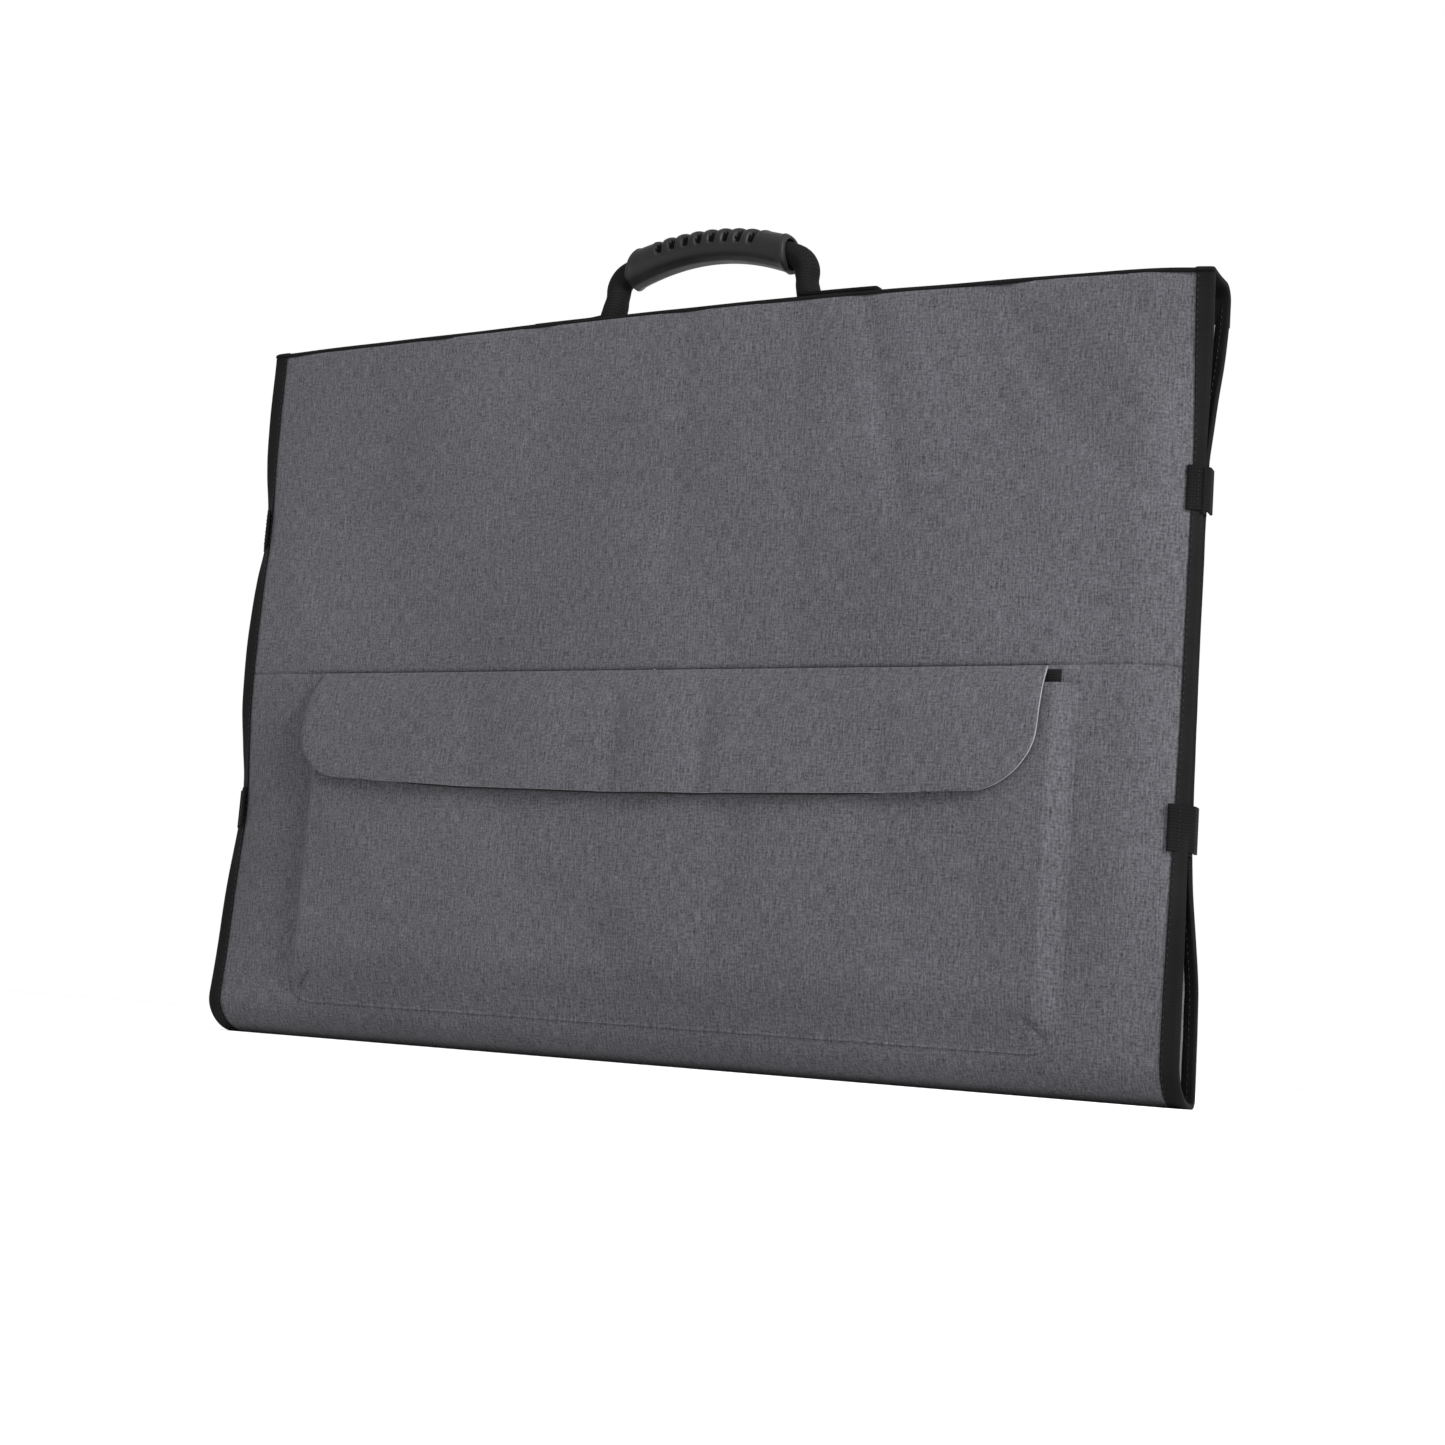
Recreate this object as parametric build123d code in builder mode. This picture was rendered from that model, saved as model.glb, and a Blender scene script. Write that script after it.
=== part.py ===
"""A flat fabric portfolio case, about A2, that stands on its bottom fold.

Two stiffened covers are joined by a bottom spine, closed by a top strip with a carrying handle,
and held together at the sides by four webbing keepers.  The front cover has a flapped pocket.
Frame: X is the width, -Y the front, +Z up, origin under the middle of the whole case.  Millimetres.
"""

import os
from math import asin, cos, degrees, sin

from build123d import *

os.makedirs("parts", exist_ok=True)

# ---- Driving dimensions -------------------------------------------------------------------------
case_width = 640.0  # over the side bindings
case_depth = 34.0  # front fabric face to back fabric face
cover_top = 449.0  # top edge of the front cover
flap_stands_out = 14.5  # closed flap's face in front of the front cover
tape_thickness = 0.5  # binding tape on one face

fabric = 1.2
board = 2.4
lining = 0.8
binding_width = 11.5
binding_bar = 2.6  # folded layers inside the binding tape
board_width = 560.0
closing_depth = 8.0  # the side edges are drawn together this far behind the front face
closing_gap = 0.3
margin_thickness = 2.0

front_fold_radius = 17.0
back_fold_radius = 5.0
hinge_gap = 1.5  # bare fold line above each bottom radius

top_strip_thickness = 2.6
top_strip_gap = 0.4
top_back_radius = 9.0
top_turn_down = 16.0
lip_height = 25.0
lip_width = 550.0
tape_strip = 1.0
tape_from_lip = 1.0  # hook and loop tapes stop this far above the lip's lower edge
tape_from_top = 4.0

keeper_width = 25.0
keeper_thickness = 1.6
keeper_heights = {"lower": 145.5, "upper": 330.5}
keeper_reach = 11.4  # how far the tabs reach inwards over the binding
keeper_clear = 0.4
keeper_corner = 1.3

seam_height = 232.0
pocket_base_width = 512.0
pocket_face_width = 492.0
pocket_bottom = 22.0
pocket_mouth = 220.0
pocket_rise = 9.6
pocket_corner = 18.0
hem_height = 10.0
hem_thickness = 0.6

flap_width = 492.0
flap_off_centre = -8.0  # the flap hangs this far to the left of the pocket's middle
flap_bottom = 160.0
flap_knee = 222.5
flap_corner = 32.0
flap_root_out = 0.7
flap_root_above = 0.9
flap_root_below = 0.5
flap_knee_above = 0.6
flap_inset = 3.0
tab_size = (60.0, 20.0)
tab_places = [(-150.0, 182.0), (150.0, 182.0)]

grip_half_length = 58.0
grip_end_height = 488.0
grip_rise = 11.7
grip_sleeve_short = 5.0  # the sleeve ends this far inside the arc's own ends
grip_across = 26.0
grip_tall = 21.0
grip_corner = 9.0
grip_bore_clear = 0.2
groove_count = 8
groove_pitch = 9.15
groove_radius = 2.3
groove_centre_out = 0.9
groove_past_grip = 1.0
leg_spacing = 138.8
leg_radius = 7.6
handle_pivot_height = 466.2
tab_length = 59.0
tab_outer_end = 121.0
tab_thickness = 3.6
tab_chamfer = 2.0
webbing_width = 25.0
backing_depth = 15.0

# ---- Places worked out from them ----------------------------------------------------------------
front_y = (flap_stands_out - tape_thickness - case_depth) / 2
back_y = front_y + case_depth
middle_y = front_y + case_depth / 2
edge_x = case_width / 2
grey_x = edge_x - binding_width
board_x = board_width / 2

front_bottom = front_fold_radius + hinge_gap
back_bottom = back_fold_radius + hinge_gap
strip_under = cover_top + top_strip_gap
strip_top = strip_under + top_strip_thickness
back_top = strip_top - top_turn_down

edge_thickness = tape_thickness + binding_bar + closing_gap
front_closed = closing_depth - edge_thickness
back_closed = case_depth - closing_depth - edge_thickness

# Height of each station up a soft side edge, and how far it is drawn in there, from 0 to 1.
pinch = [
    (45.0, 0.0),
    (75.0, 0.31),
    (105.0, 0.69),
    (128.0, 1.0),
    (355.0, 1.0),
    (381.0, 0.69),
    (400.0, 0.38),
    (419.0, 0.13),
    (432.0, 0.0),
]

to_front = (0, -1, 0)


def save(part, name):
    """Labels one finished piece and writes it to its own file."""
    part.label = name
    export_step(part, f"parts/{name}.step")


def at_depth(y):
    """The front-view sketch plane at depth y; an extrusion there goes towards the front."""
    return Plane.XZ.offset(-y)


def edge_line(face_y, low, high):
    """Depth and height of each station up a side edge: the front or back cover's, by its face."""
    closed = front_closed if face_y == front_y else -back_closed
    return [(face_y + closed * share, z) for z, share in [(low, 0.0)] + pinch + [(high, 0.0)]]


def cover_plate(name, low, high, y, thickness):
    """A flat layer of a cover, its back face at depth y."""
    with BuildPart() as plate:
        with BuildSketch(at_depth(y)):
            with Locations((0, (low + high) / 2)):
                Rectangle(board_width, high - low)
        extrude(amount=thickness)
    save(plate.part, name)


def soft_margin(name, side, face_y, low, high):
    """The unstiffened strip of cover between the board and one side binding."""
    inward = 1 if face_y == front_y else -1
    with BuildPart() as margin:
        for edge_y, z in edge_line(face_y, low, high):
            with BuildSketch(Plane.XY.offset(z)):
                with BuildLine():
                    Polyline(
                        (side * board_x, face_y),
                        (side * grey_x, edge_y),
                        (side * grey_x, edge_y + inward * margin_thickness),
                        (side * board_x, face_y + inward * margin_thickness),
                        close=True,
                    )
                make_face()
        loft(ruled=True)
    save(margin.part, name)


def side_binding(name, side, face_y, low, high):
    """The tape folded over one side edge of a cover, with the layers that it holds."""
    inward = 1 if face_y == front_y else -1
    line = edge_line(face_y, low, high)
    outer = [(y - inward * tape_thickness, z) for y, z in line]
    inner = [(y + inward * (binding_bar + tape_thickness), z) for y, z in line]
    with BuildPart() as binding:
        with BuildSketch(Plane.YZ.offset(side * grey_x)):
            with BuildLine():
                Polyline(*outer, *inner[::-1], close=True)
            make_face()
        extrude(amount=side * binding_width)
    save(binding.part, name)


# ---- Front cover: two fabric panels on one board, and its lining --------------------------------
front_board_y = front_y + fabric
front_lining_y = front_board_y + board
front_inner_y = front_lining_y + lining

cover_plate("front_lower_panel", front_bottom, seam_height, front_board_y, fabric)
cover_plate("front_upper_panel", seam_height, cover_top, front_board_y, fabric)
cover_plate("front_board", front_bottom, cover_top, front_lining_y, board)
cover_plate("front_lining", front_bottom, cover_top, front_inner_y, lining)

# ---- Back cover: one fabric panel, its board and its lining -------------------------------------
back_board_y = back_y - fabric
back_lining_y = back_board_y - board
back_inner_y = back_lining_y - lining

cover_plate("back_panel", back_bottom, back_top, back_y, fabric)
cover_plate("back_board", back_bottom, back_top, back_board_y, board)
cover_plate("back_lining", back_bottom, back_top, back_lining_y, lining)

# ---- Soft margins and side bindings -------------------------------------------------------------
for side, hand in ((-1, "left"), (1, "right")):
    soft_margin(f"front_margin_{hand}", side, front_y, front_bottom, cover_top)
    soft_margin(f"back_margin_{hand}", side, back_y, back_bottom, back_top)
    side_binding(f"front_binding_{hand}", side, front_y, front_bottom, cover_top)
    side_binding(f"back_binding_{hand}", side, back_y, back_bottom, back_top)


# ---- Bottom spine: the fabric carries on round a wide front radius and a tight back one ---------
def fold_profile(x, thickness):
    """A band round the bottom at x, from the front fold line to the back one."""
    inner_front = front_fold_radius - thickness
    inner_back = back_fold_radius - thickness
    front_centre = front_y + front_fold_radius
    back_centre = back_y - back_fold_radius
    with BuildSketch(Plane.YZ.offset(x)) as profile:
        with BuildLine():
            Line((front_centre, 0), (back_centre, 0))
            CenterArc((back_centre, back_fold_radius), back_fold_radius, 270, 90)
            Line((back_y, back_fold_radius), (back_y - thickness, back_fold_radius))
            CenterArc((back_centre, back_fold_radius), inner_back, 0, -90)
            Line((back_centre, thickness), (front_centre, thickness))
            CenterArc((front_centre, front_fold_radius), inner_front, 270, -90)
            Line((front_y + thickness, front_fold_radius), (front_y, front_fold_radius))
            CenterArc((front_centre, front_fold_radius), front_fold_radius, 180, 90)
        make_face()
    return profile.sketch


with BuildPart() as bottom_fold:
    add(fold_profile(-grey_x, fabric))
    extrude(amount=2 * grey_x, dir=(1, 0, 0))
save(bottom_fold.part, "bottom_fold")

for side, hand in ((-1, "left"), (1, "right")):
    with BuildPart() as spine_binding:
        add(fold_profile(side * grey_x, binding_bar + tape_thickness))
        extrude(amount=binding_width, dir=(side, 0, 0))
    save(spine_binding.part, f"spine_binding_{hand}")

spine_length = case_depth - front_fold_radius - back_fold_radius
spine_middle_y = front_y + front_fold_radius + spine_length / 2
for name, height, thickness in (
    ("spine_board", fabric, board),
    ("spine_lining", fabric + board, lining),
):
    with BuildPart() as spine_layer:
        with BuildSketch(Plane.XY.offset(height)):
            with Locations((0, spine_middle_y)):
                Rectangle(board_width, spine_length)
        extrude(amount=thickness)
    save(spine_layer.part, name)

# ---- Top strip: black, over the top and down the back, with a lip inside the front cover --------
corner_y = back_y - top_back_radius
corner_z = strip_top - top_back_radius
with BuildPart() as top_strip:
    with Locations((0, (front_y + corner_y) / 2, (strip_under + strip_top) / 2)):
        Box(case_width, corner_y - front_y, top_strip_thickness)
save(top_strip.part, "top_strip")

with BuildPart() as top_strip_corner:
    with BuildSketch(Plane.YZ.offset(-edge_x)):
        with BuildLine():
            inner_radius = top_back_radius - top_strip_thickness
            CenterArc((corner_y, corner_z), top_back_radius, 90, -90)
            Line((back_y, corner_z), (back_y - top_strip_thickness, corner_z))
            CenterArc((corner_y, corner_z), inner_radius, 0, 90)
            Line((corner_y, strip_under), (corner_y, strip_top))
        make_face()
    extrude(amount=case_width)
save(top_strip_corner.part, "top_strip_corner")

with BuildPart() as top_strip_back:
    with Locations((0, back_y - top_strip_thickness / 2, (back_top + corner_z) / 2)):
        Box(case_width, top_strip_thickness, corner_z - back_top)
save(top_strip_back.part, "top_strip_back")

loop_face_y = front_inner_y + tape_strip
hook_face_y = loop_face_y + keeper_clear
lip_face_y = hook_face_y + tape_strip
lip_low = strip_under - lip_height
for name, back_face, thickness, low, high in (
    ("top_loop_tape", loop_face_y, tape_strip, lip_low + tape_from_lip, cover_top - tape_from_top),
    ("top_hook_tape", lip_face_y, tape_strip, lip_low + tape_from_lip, cover_top - tape_from_top),
    ("closure_lip", lip_face_y + fabric, fabric, lip_low, strip_under),
):
    with BuildPart() as closure_piece:
        with BuildSketch(at_depth(back_face)):
            with Locations((0, (low + high) / 2)):
                Rectangle(lip_width, high - low)
        extrude(amount=thickness)
    save(closure_piece.part, name)


# ---- Keepers: a front and a back webbing tab at each place, overlapping at the side --------------
def keeper_tab(name, side, height, face_y, towards, outer_x, reach_y):
    """An L of webbing: one leg on a binding, the other round its edge as far as reach_y."""
    with BuildPart() as tab:
        with BuildSketch(Plane.XY.offset(height - keeper_width / 2)):
            with BuildLine():
                far_y = face_y - towards * keeper_thickness
                inner_x = outer_x - keeper_thickness
                start_x = edge_x - keeper_reach
                Polyline(
                    (side * start_x, face_y),
                    (side * start_x, far_y),
                    (side * outer_x, far_y),
                    (side * outer_x, reach_y),
                    (side * inner_x, reach_y),
                    (side * inner_x, face_y),
                    close=True,
                )
            make_face()
        extrude(amount=keeper_width)
        corner = tab.edges().filter_by(Axis.Z).sort_by(lambda e: abs(e.center().X - side * outer_x))
        outer_corner = ShapeList(corner[:2]).sort_by(Axis.Y)[0 if towards > 0 else -1]
        fillet(outer_corner, radius=keeper_corner)
    save(tab.part, name)


keeper_front_y = front_y + front_closed - tape_thickness
keeper_back_y = back_y - back_closed + tape_thickness
inner_tab_x = edge_x + keeper_clear + keeper_thickness
outer_tab_x = inner_tab_x + keeper_clear + keeper_thickness
for level, height in keeper_heights.items():
    for side, hand in ((-1, "left"), (1, "right")):
        keeper_tab(
            f"keeper_front_{hand}_{level}",
            side,
            height,
            keeper_front_y,
            1,
            outer_tab_x,
            keeper_back_y + keeper_thickness,
        )
        keeper_tab(
            f"keeper_back_{hand}_{level}",
            side,
            height,
            keeper_back_y,
            -1,
            inner_tab_x,
            keeper_front_y + keeper_clear,
        )


# ---- Pocket: a raised face on a sloping gusset, open at the top ----------------------------------
def pocket_outline(y, width, low, high, corner, middle=0.0):
    """A rectangle at depth y with its two lower corners rounded."""
    with BuildSketch(at_depth(y)) as outline:
        with BuildLine():
            FilletPolyline(
                (middle - width / 2, high),
                (middle - width / 2, low),
                (middle + width / 2, low),
                (middle + width / 2, high),
                radius=corner,
            )
            Line((middle + width / 2, high), (middle - width / 2, high))
        make_face()
    return outline.sketch


pocket_slope = (pocket_base_width - pocket_face_width) / 2
pocket_face_low = pocket_bottom + pocket_slope
face_corner = pocket_corner - pocket_slope / 2
pocket_back_y = front_y - pocket_rise
with BuildPart() as pocket_gusset:
    for wall, mode in ((0.0, Mode.ADD), (fabric, Mode.SUBTRACT)):
        high = pocket_mouth + wall
        base_width = pocket_base_width - 2 * wall
        face_width = pocket_face_width - 2 * wall
        low = pocket_bottom + wall
        face_low = pocket_face_low + wall
        add(pocket_outline(front_y, base_width, low, high, pocket_corner - wall))
        add(pocket_outline(pocket_back_y, face_width, face_low, high, face_corner - wall))
        loft(ruled=True, mode=mode)
save(pocket_gusset.part, "pocket_gusset")

with BuildPart() as pocket_face:
    add(pocket_outline(pocket_back_y, pocket_face_width, pocket_face_low, pocket_mouth, face_corner))
    extrude(amount=fabric, dir=to_front)
save(pocket_face.part, "pocket_face")

pocket_front_y = pocket_back_y - fabric
with BuildPart() as pocket_hem:
    with BuildSketch(at_depth(pocket_front_y)):
        with Locations((0, pocket_mouth - hem_height / 2)):
            Rectangle(pocket_face_width, hem_height)
    extrude(amount=hem_thickness)
save(pocket_hem.part, "pocket_hem")

with BuildPart() as pocket_loop_tabs:
    with BuildSketch(at_depth(pocket_front_y)):
        with Locations(*tab_places):
            Rectangle(*tab_size)
    extrude(amount=hem_thickness)
save(pocket_loop_tabs.part, "pocket_loop_tabs")

# ---- Pocket flap: hangs from the seam over the pocket's mouth ------------------------------------
flap_face_y = front_y - flap_stands_out
flap_inner_y = flap_face_y + fabric
flap_root_y = front_y - flap_root_out
with BuildPart() as flap_outer:
    with BuildSketch(Plane.YZ.offset(flap_off_centre - flap_width / 2)):
        with BuildLine():
            Polyline(
                (flap_root_y, seam_height + flap_root_above),
                (flap_face_y, flap_knee + flap_knee_above),
                (flap_face_y, flap_bottom),
                (flap_inner_y, flap_bottom),
                (flap_inner_y, flap_knee),
                (flap_root_y, seam_height - flap_root_below),
                close=True,
            )
        make_face()
    extrude(amount=flap_width)
    add(
        pocket_outline(
            front_y, flap_width, flap_bottom, seam_height + fabric, flap_corner, flap_off_centre
        )
    )
    extrude(amount=flap_stands_out + fabric, dir=to_front, mode=Mode.INTERSECT)
save(flap_outer.part, "flap_outer")

flap_lining_y = flap_inner_y + lining
with BuildPart() as flap_lining:
    add(
        pocket_outline(
            flap_lining_y,
            flap_width - 2 * flap_inset,
            flap_bottom + flap_inset,
            flap_knee - flap_inset,
            flap_corner - flap_inset,
            flap_off_centre,
        )
    )
    extrude(amount=lining, dir=to_front)
save(flap_lining.part, "flap_lining")

with BuildPart() as flap_hook_tabs:
    with BuildSketch(at_depth(flap_lining_y + hem_thickness)):
        with Locations(*tab_places):
            Rectangle(*tab_size)
    extrude(amount=hem_thickness)
save(flap_hook_tabs.part, "flap_hook_tabs")

# ---- Handle: one length of rolled webbing through a ribbed moulded grip --------------------------
arc_radius = (grip_half_length**2 + grip_rise**2) / (2 * grip_rise)
end_slope = asin(grip_half_length / arc_radius)
leg_x = leg_spacing / 2
bend_radius = (leg_x - grip_half_length) / (1 - sin(end_slope))
bend_low = grip_end_height - bend_radius * cos(end_slope)
arc_centre_z = grip_end_height + grip_rise - arc_radius
handle_plane = at_depth(middle_y)

with BuildPart() as handle_webbing:
    with BuildLine(handle_plane) as webbing_line:
        Line((-leg_x, handle_pivot_height), (-leg_x, bend_low))
        CenterArc(
            (bend_radius - leg_x, bend_low),
            bend_radius,
            180,
            -(90 - degrees(end_slope)),
        )
        CenterArc(
            (0, arc_centre_z),
            arc_radius,
            90 + degrees(end_slope),
            -2 * degrees(end_slope),
        )
        CenterArc(
            (leg_x - bend_radius, bend_low),
            bend_radius,
            90 - degrees(end_slope),
            -(90 - degrees(end_slope)),
        )
        Line((leg_x, bend_low), (leg_x, handle_pivot_height))
    with BuildSketch(Plane.XY.offset(handle_pivot_height)):
        with Locations((-leg_x, middle_y)):
            Circle(leg_radius)
    sweep(path=webbing_line.wires()[0])
    with Locations(
        (-leg_x, middle_y, handle_pivot_height), (leg_x, middle_y, handle_pivot_height)
    ):
        Sphere(leg_radius)
save(handle_webbing.part, "handle_webbing")

with BuildPart() as handle_grip:
    sleeve_slope = degrees(end_slope - grip_sleeve_short / arc_radius)
    with BuildLine(handle_plane) as grip_line:
        CenterArc((0, arc_centre_z), arc_radius, 90 + sleeve_slope, -2 * sleeve_slope)
    grip_start = Plane(
        origin=grip_line.line @ 0, x_dir=(0, 1, 0), z_dir=grip_line.line % 0
    )
    with BuildSketch(grip_start):
        RectangleRounded(grip_across, grip_tall, grip_corner)
        Circle(leg_radius + grip_bore_clear, mode=Mode.SUBTRACT)
    sweep(path=grip_line.wires()[0])
    groove_distance = arc_radius + grip_tall / 2 + groove_centre_out
    groove_step = groove_pitch / (arc_radius + grip_tall / 2)
    for number in range(groove_count):
        turn = (number - (groove_count - 1) / 2) * groove_step
        groove_x = groove_distance * sin(turn)
        groove_z = arc_centre_z + groove_distance * cos(turn)
        with Locations(Location((groove_x, middle_y, groove_z), (90, 0, 0))):
            Cylinder(groove_radius, grip_across + 2 * groove_past_grip, mode=Mode.SUBTRACT)
save(handle_grip.part, "handle_grip")

for side, hand in ((-1, "left"), (1, "right")):
    with BuildPart() as handle_tab:
        with BuildSketch(Plane.XY.offset(strip_top)):
            with Locations((side * (tab_outer_end - tab_length / 2), middle_y)):
                Rectangle(tab_length, webbing_width)
        extrude(amount=tab_thickness)
        top_edges = handle_tab.faces().sort_by(Axis.Z)[-1].edges().filter_by(Axis.Y)
        chamfer(top_edges.sort_by(lambda e: side * e.center().X)[-1], tab_chamfer)
    save(handle_tab.part, f"handle_tab_{hand}")

with BuildPart() as handle_backing:
    with BuildSketch(Plane.XY.offset(strip_under - board)):
        with Locations((0, middle_y)):
            Rectangle(2 * tab_outer_end, backing_depth)
    extrude(amount=board)
save(handle_backing.part, "handle_backing")
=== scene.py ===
import math

import bmesh
import bpy
from mathutils import Matrix, Vector, noise


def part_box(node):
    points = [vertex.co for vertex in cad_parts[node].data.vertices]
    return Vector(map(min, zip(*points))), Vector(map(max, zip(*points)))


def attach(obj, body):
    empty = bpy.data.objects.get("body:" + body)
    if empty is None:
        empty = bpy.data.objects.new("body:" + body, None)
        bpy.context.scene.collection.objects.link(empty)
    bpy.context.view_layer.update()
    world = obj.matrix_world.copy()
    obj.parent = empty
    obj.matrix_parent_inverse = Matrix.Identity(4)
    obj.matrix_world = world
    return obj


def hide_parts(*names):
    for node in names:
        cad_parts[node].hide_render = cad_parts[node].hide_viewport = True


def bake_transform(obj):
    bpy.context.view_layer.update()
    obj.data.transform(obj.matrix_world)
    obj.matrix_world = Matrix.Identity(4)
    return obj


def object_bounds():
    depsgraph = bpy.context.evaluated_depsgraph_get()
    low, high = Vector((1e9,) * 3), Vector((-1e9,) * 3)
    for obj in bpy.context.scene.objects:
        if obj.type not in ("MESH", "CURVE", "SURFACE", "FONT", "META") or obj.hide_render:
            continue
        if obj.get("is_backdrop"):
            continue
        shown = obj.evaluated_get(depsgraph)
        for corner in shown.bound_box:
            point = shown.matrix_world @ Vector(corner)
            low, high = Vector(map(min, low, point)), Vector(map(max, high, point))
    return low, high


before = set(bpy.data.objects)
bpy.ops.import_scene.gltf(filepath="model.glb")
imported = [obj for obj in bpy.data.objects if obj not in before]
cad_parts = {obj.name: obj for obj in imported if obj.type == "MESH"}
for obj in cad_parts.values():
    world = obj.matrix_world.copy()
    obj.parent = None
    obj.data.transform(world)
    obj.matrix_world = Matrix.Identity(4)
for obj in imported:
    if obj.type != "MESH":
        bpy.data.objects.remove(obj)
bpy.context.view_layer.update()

mm = 0.001


# ---- Studio --------------------------------------------------------------------------------------
# A white table in a white room, with one large soft lamp to the right and a weaker one to the left.
# The camera stands low, to the right of the case, looks slightly up at it and leans a little.
camera_data = bpy.data.cameras.new("studio_camera")
camera_data.sensor_width = 36.0
camera_data.lens = 55.86
camera_data.clip_start = 0.05
camera_data.clip_end = 60.0
camera = bpy.data.objects.new("studio_camera", camera_data)
camera_heading = math.radians(28.086)
camera_tilt = math.radians(98.102)
camera_lean = math.radians(4.349)
camera.matrix_world = (
    Matrix.Translation((649.1 * mm, -1150.9 * mm, 16.3 * mm))
    @ Matrix.Rotation(camera_heading, 4, "Z")
    @ Matrix.Rotation(camera_tilt, 4, "X")
    @ Matrix.Rotation(camera_lean, 4, "Z")
)
bpy.context.scene.collection.objects.link(camera)
bpy.context.scene.camera = camera
bpy.context.scene.view_settings.view_transform = "Standard"

room = bpy.data.worlds.new("white_room")
room.use_nodes = True
room.node_tree.nodes["Background"].inputs["Color"].default_value = (1.0, 1.0, 1.0, 1.0)
room.node_tree.nodes["Background"].inputs["Strength"].default_value = 1.0
bpy.context.scene.world = room

for lamp_name, place, power, size in (
    ("lamp_right", (2.3, -0.95, 1.35), 95.0, 0.9),
    ("lamp_top", (0.3, -1.5, 2.3), 16.0, 1.6),
    ("lamp_low", (0.2, -1.3, 0.12), 3.0, 0.5),
):
    lamp_data = bpy.data.lights.new(lamp_name, "AREA")
    lamp_data.energy = power
    lamp_data.size = size
    lamp = bpy.data.objects.new(lamp_name, lamp_data)
    towards_case = Vector((0, 0, 0.25)) - Vector(place)
    lamp.matrix_world = Matrix.Translation(place) @ towards_case.to_track_quat("-Z", "Y").to_matrix().to_4x4()
    bpy.context.scene.collection.objects.link(lamp)

table_mesh = bmesh.new()
bmesh.ops.create_grid(table_mesh, x_segments=1, y_segments=1, size=15.0)
table_data = bpy.data.meshes.new("studio_table")
table_mesh.to_mesh(table_data)
table_mesh.free()
table = bpy.data.objects.new("studio_table", table_data)
bpy.context.scene.collection.objects.link(table)
table_paint = bpy.data.materials.new("white_table")
table_paint.use_nodes = True
table_paint.node_tree.nodes["Principled BSDF"].inputs["Base Color"].default_value = (0.985, 0.985, 0.985, 1)
table_paint.node_tree.nodes["Principled BSDF"].inputs["Roughness"].default_value = 0.9
table_paint.node_tree.nodes["Principled BSDF"].inputs["Specular IOR Level"].default_value = 0.0
table_data.materials.append(table_paint)
table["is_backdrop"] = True


# ---- Front cover cloth ---------------------------------------------------------------------------
# Two panels of grey melange polyester, sewn together by one seam across the middle and stretched
# over a stiff board. The cloth is soft beyond the board, and carries on round the bottom in a wide
# fold to the middle of the spine.
front_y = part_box("front_upper_panel")[0].y
seam_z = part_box("front_upper_panel")[0].z
cover_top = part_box("front_upper_panel")[1].z
board_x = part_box("front_upper_panel")[1].x
back_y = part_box("bottom_fold")[1].y
grey_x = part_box("bottom_fold")[1].x
quarter = math.pi / 2
back_fold = (5 * mm, 5 * mm)
front_fold = (back_y - back_fold[0] - front_y, 24 * mm)
cloth_thickness = 1.2 * mm
cloth_step = 3 * mm
cloth_tuck = 5 * mm  # how far the cloth goes in under the side tape

# The top line rises softly from the two ends to the middle: (x, height), in millimetres.
top_line = [(-320, 450.3), (-284, 451.4), (-187, 453.1), (-97, 454.7), (0, 455.7), (96, 455.8)]
top_line += [(172, 454.5), (243, 453.6), (289, 452.2), (320, 449.6)]

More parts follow.
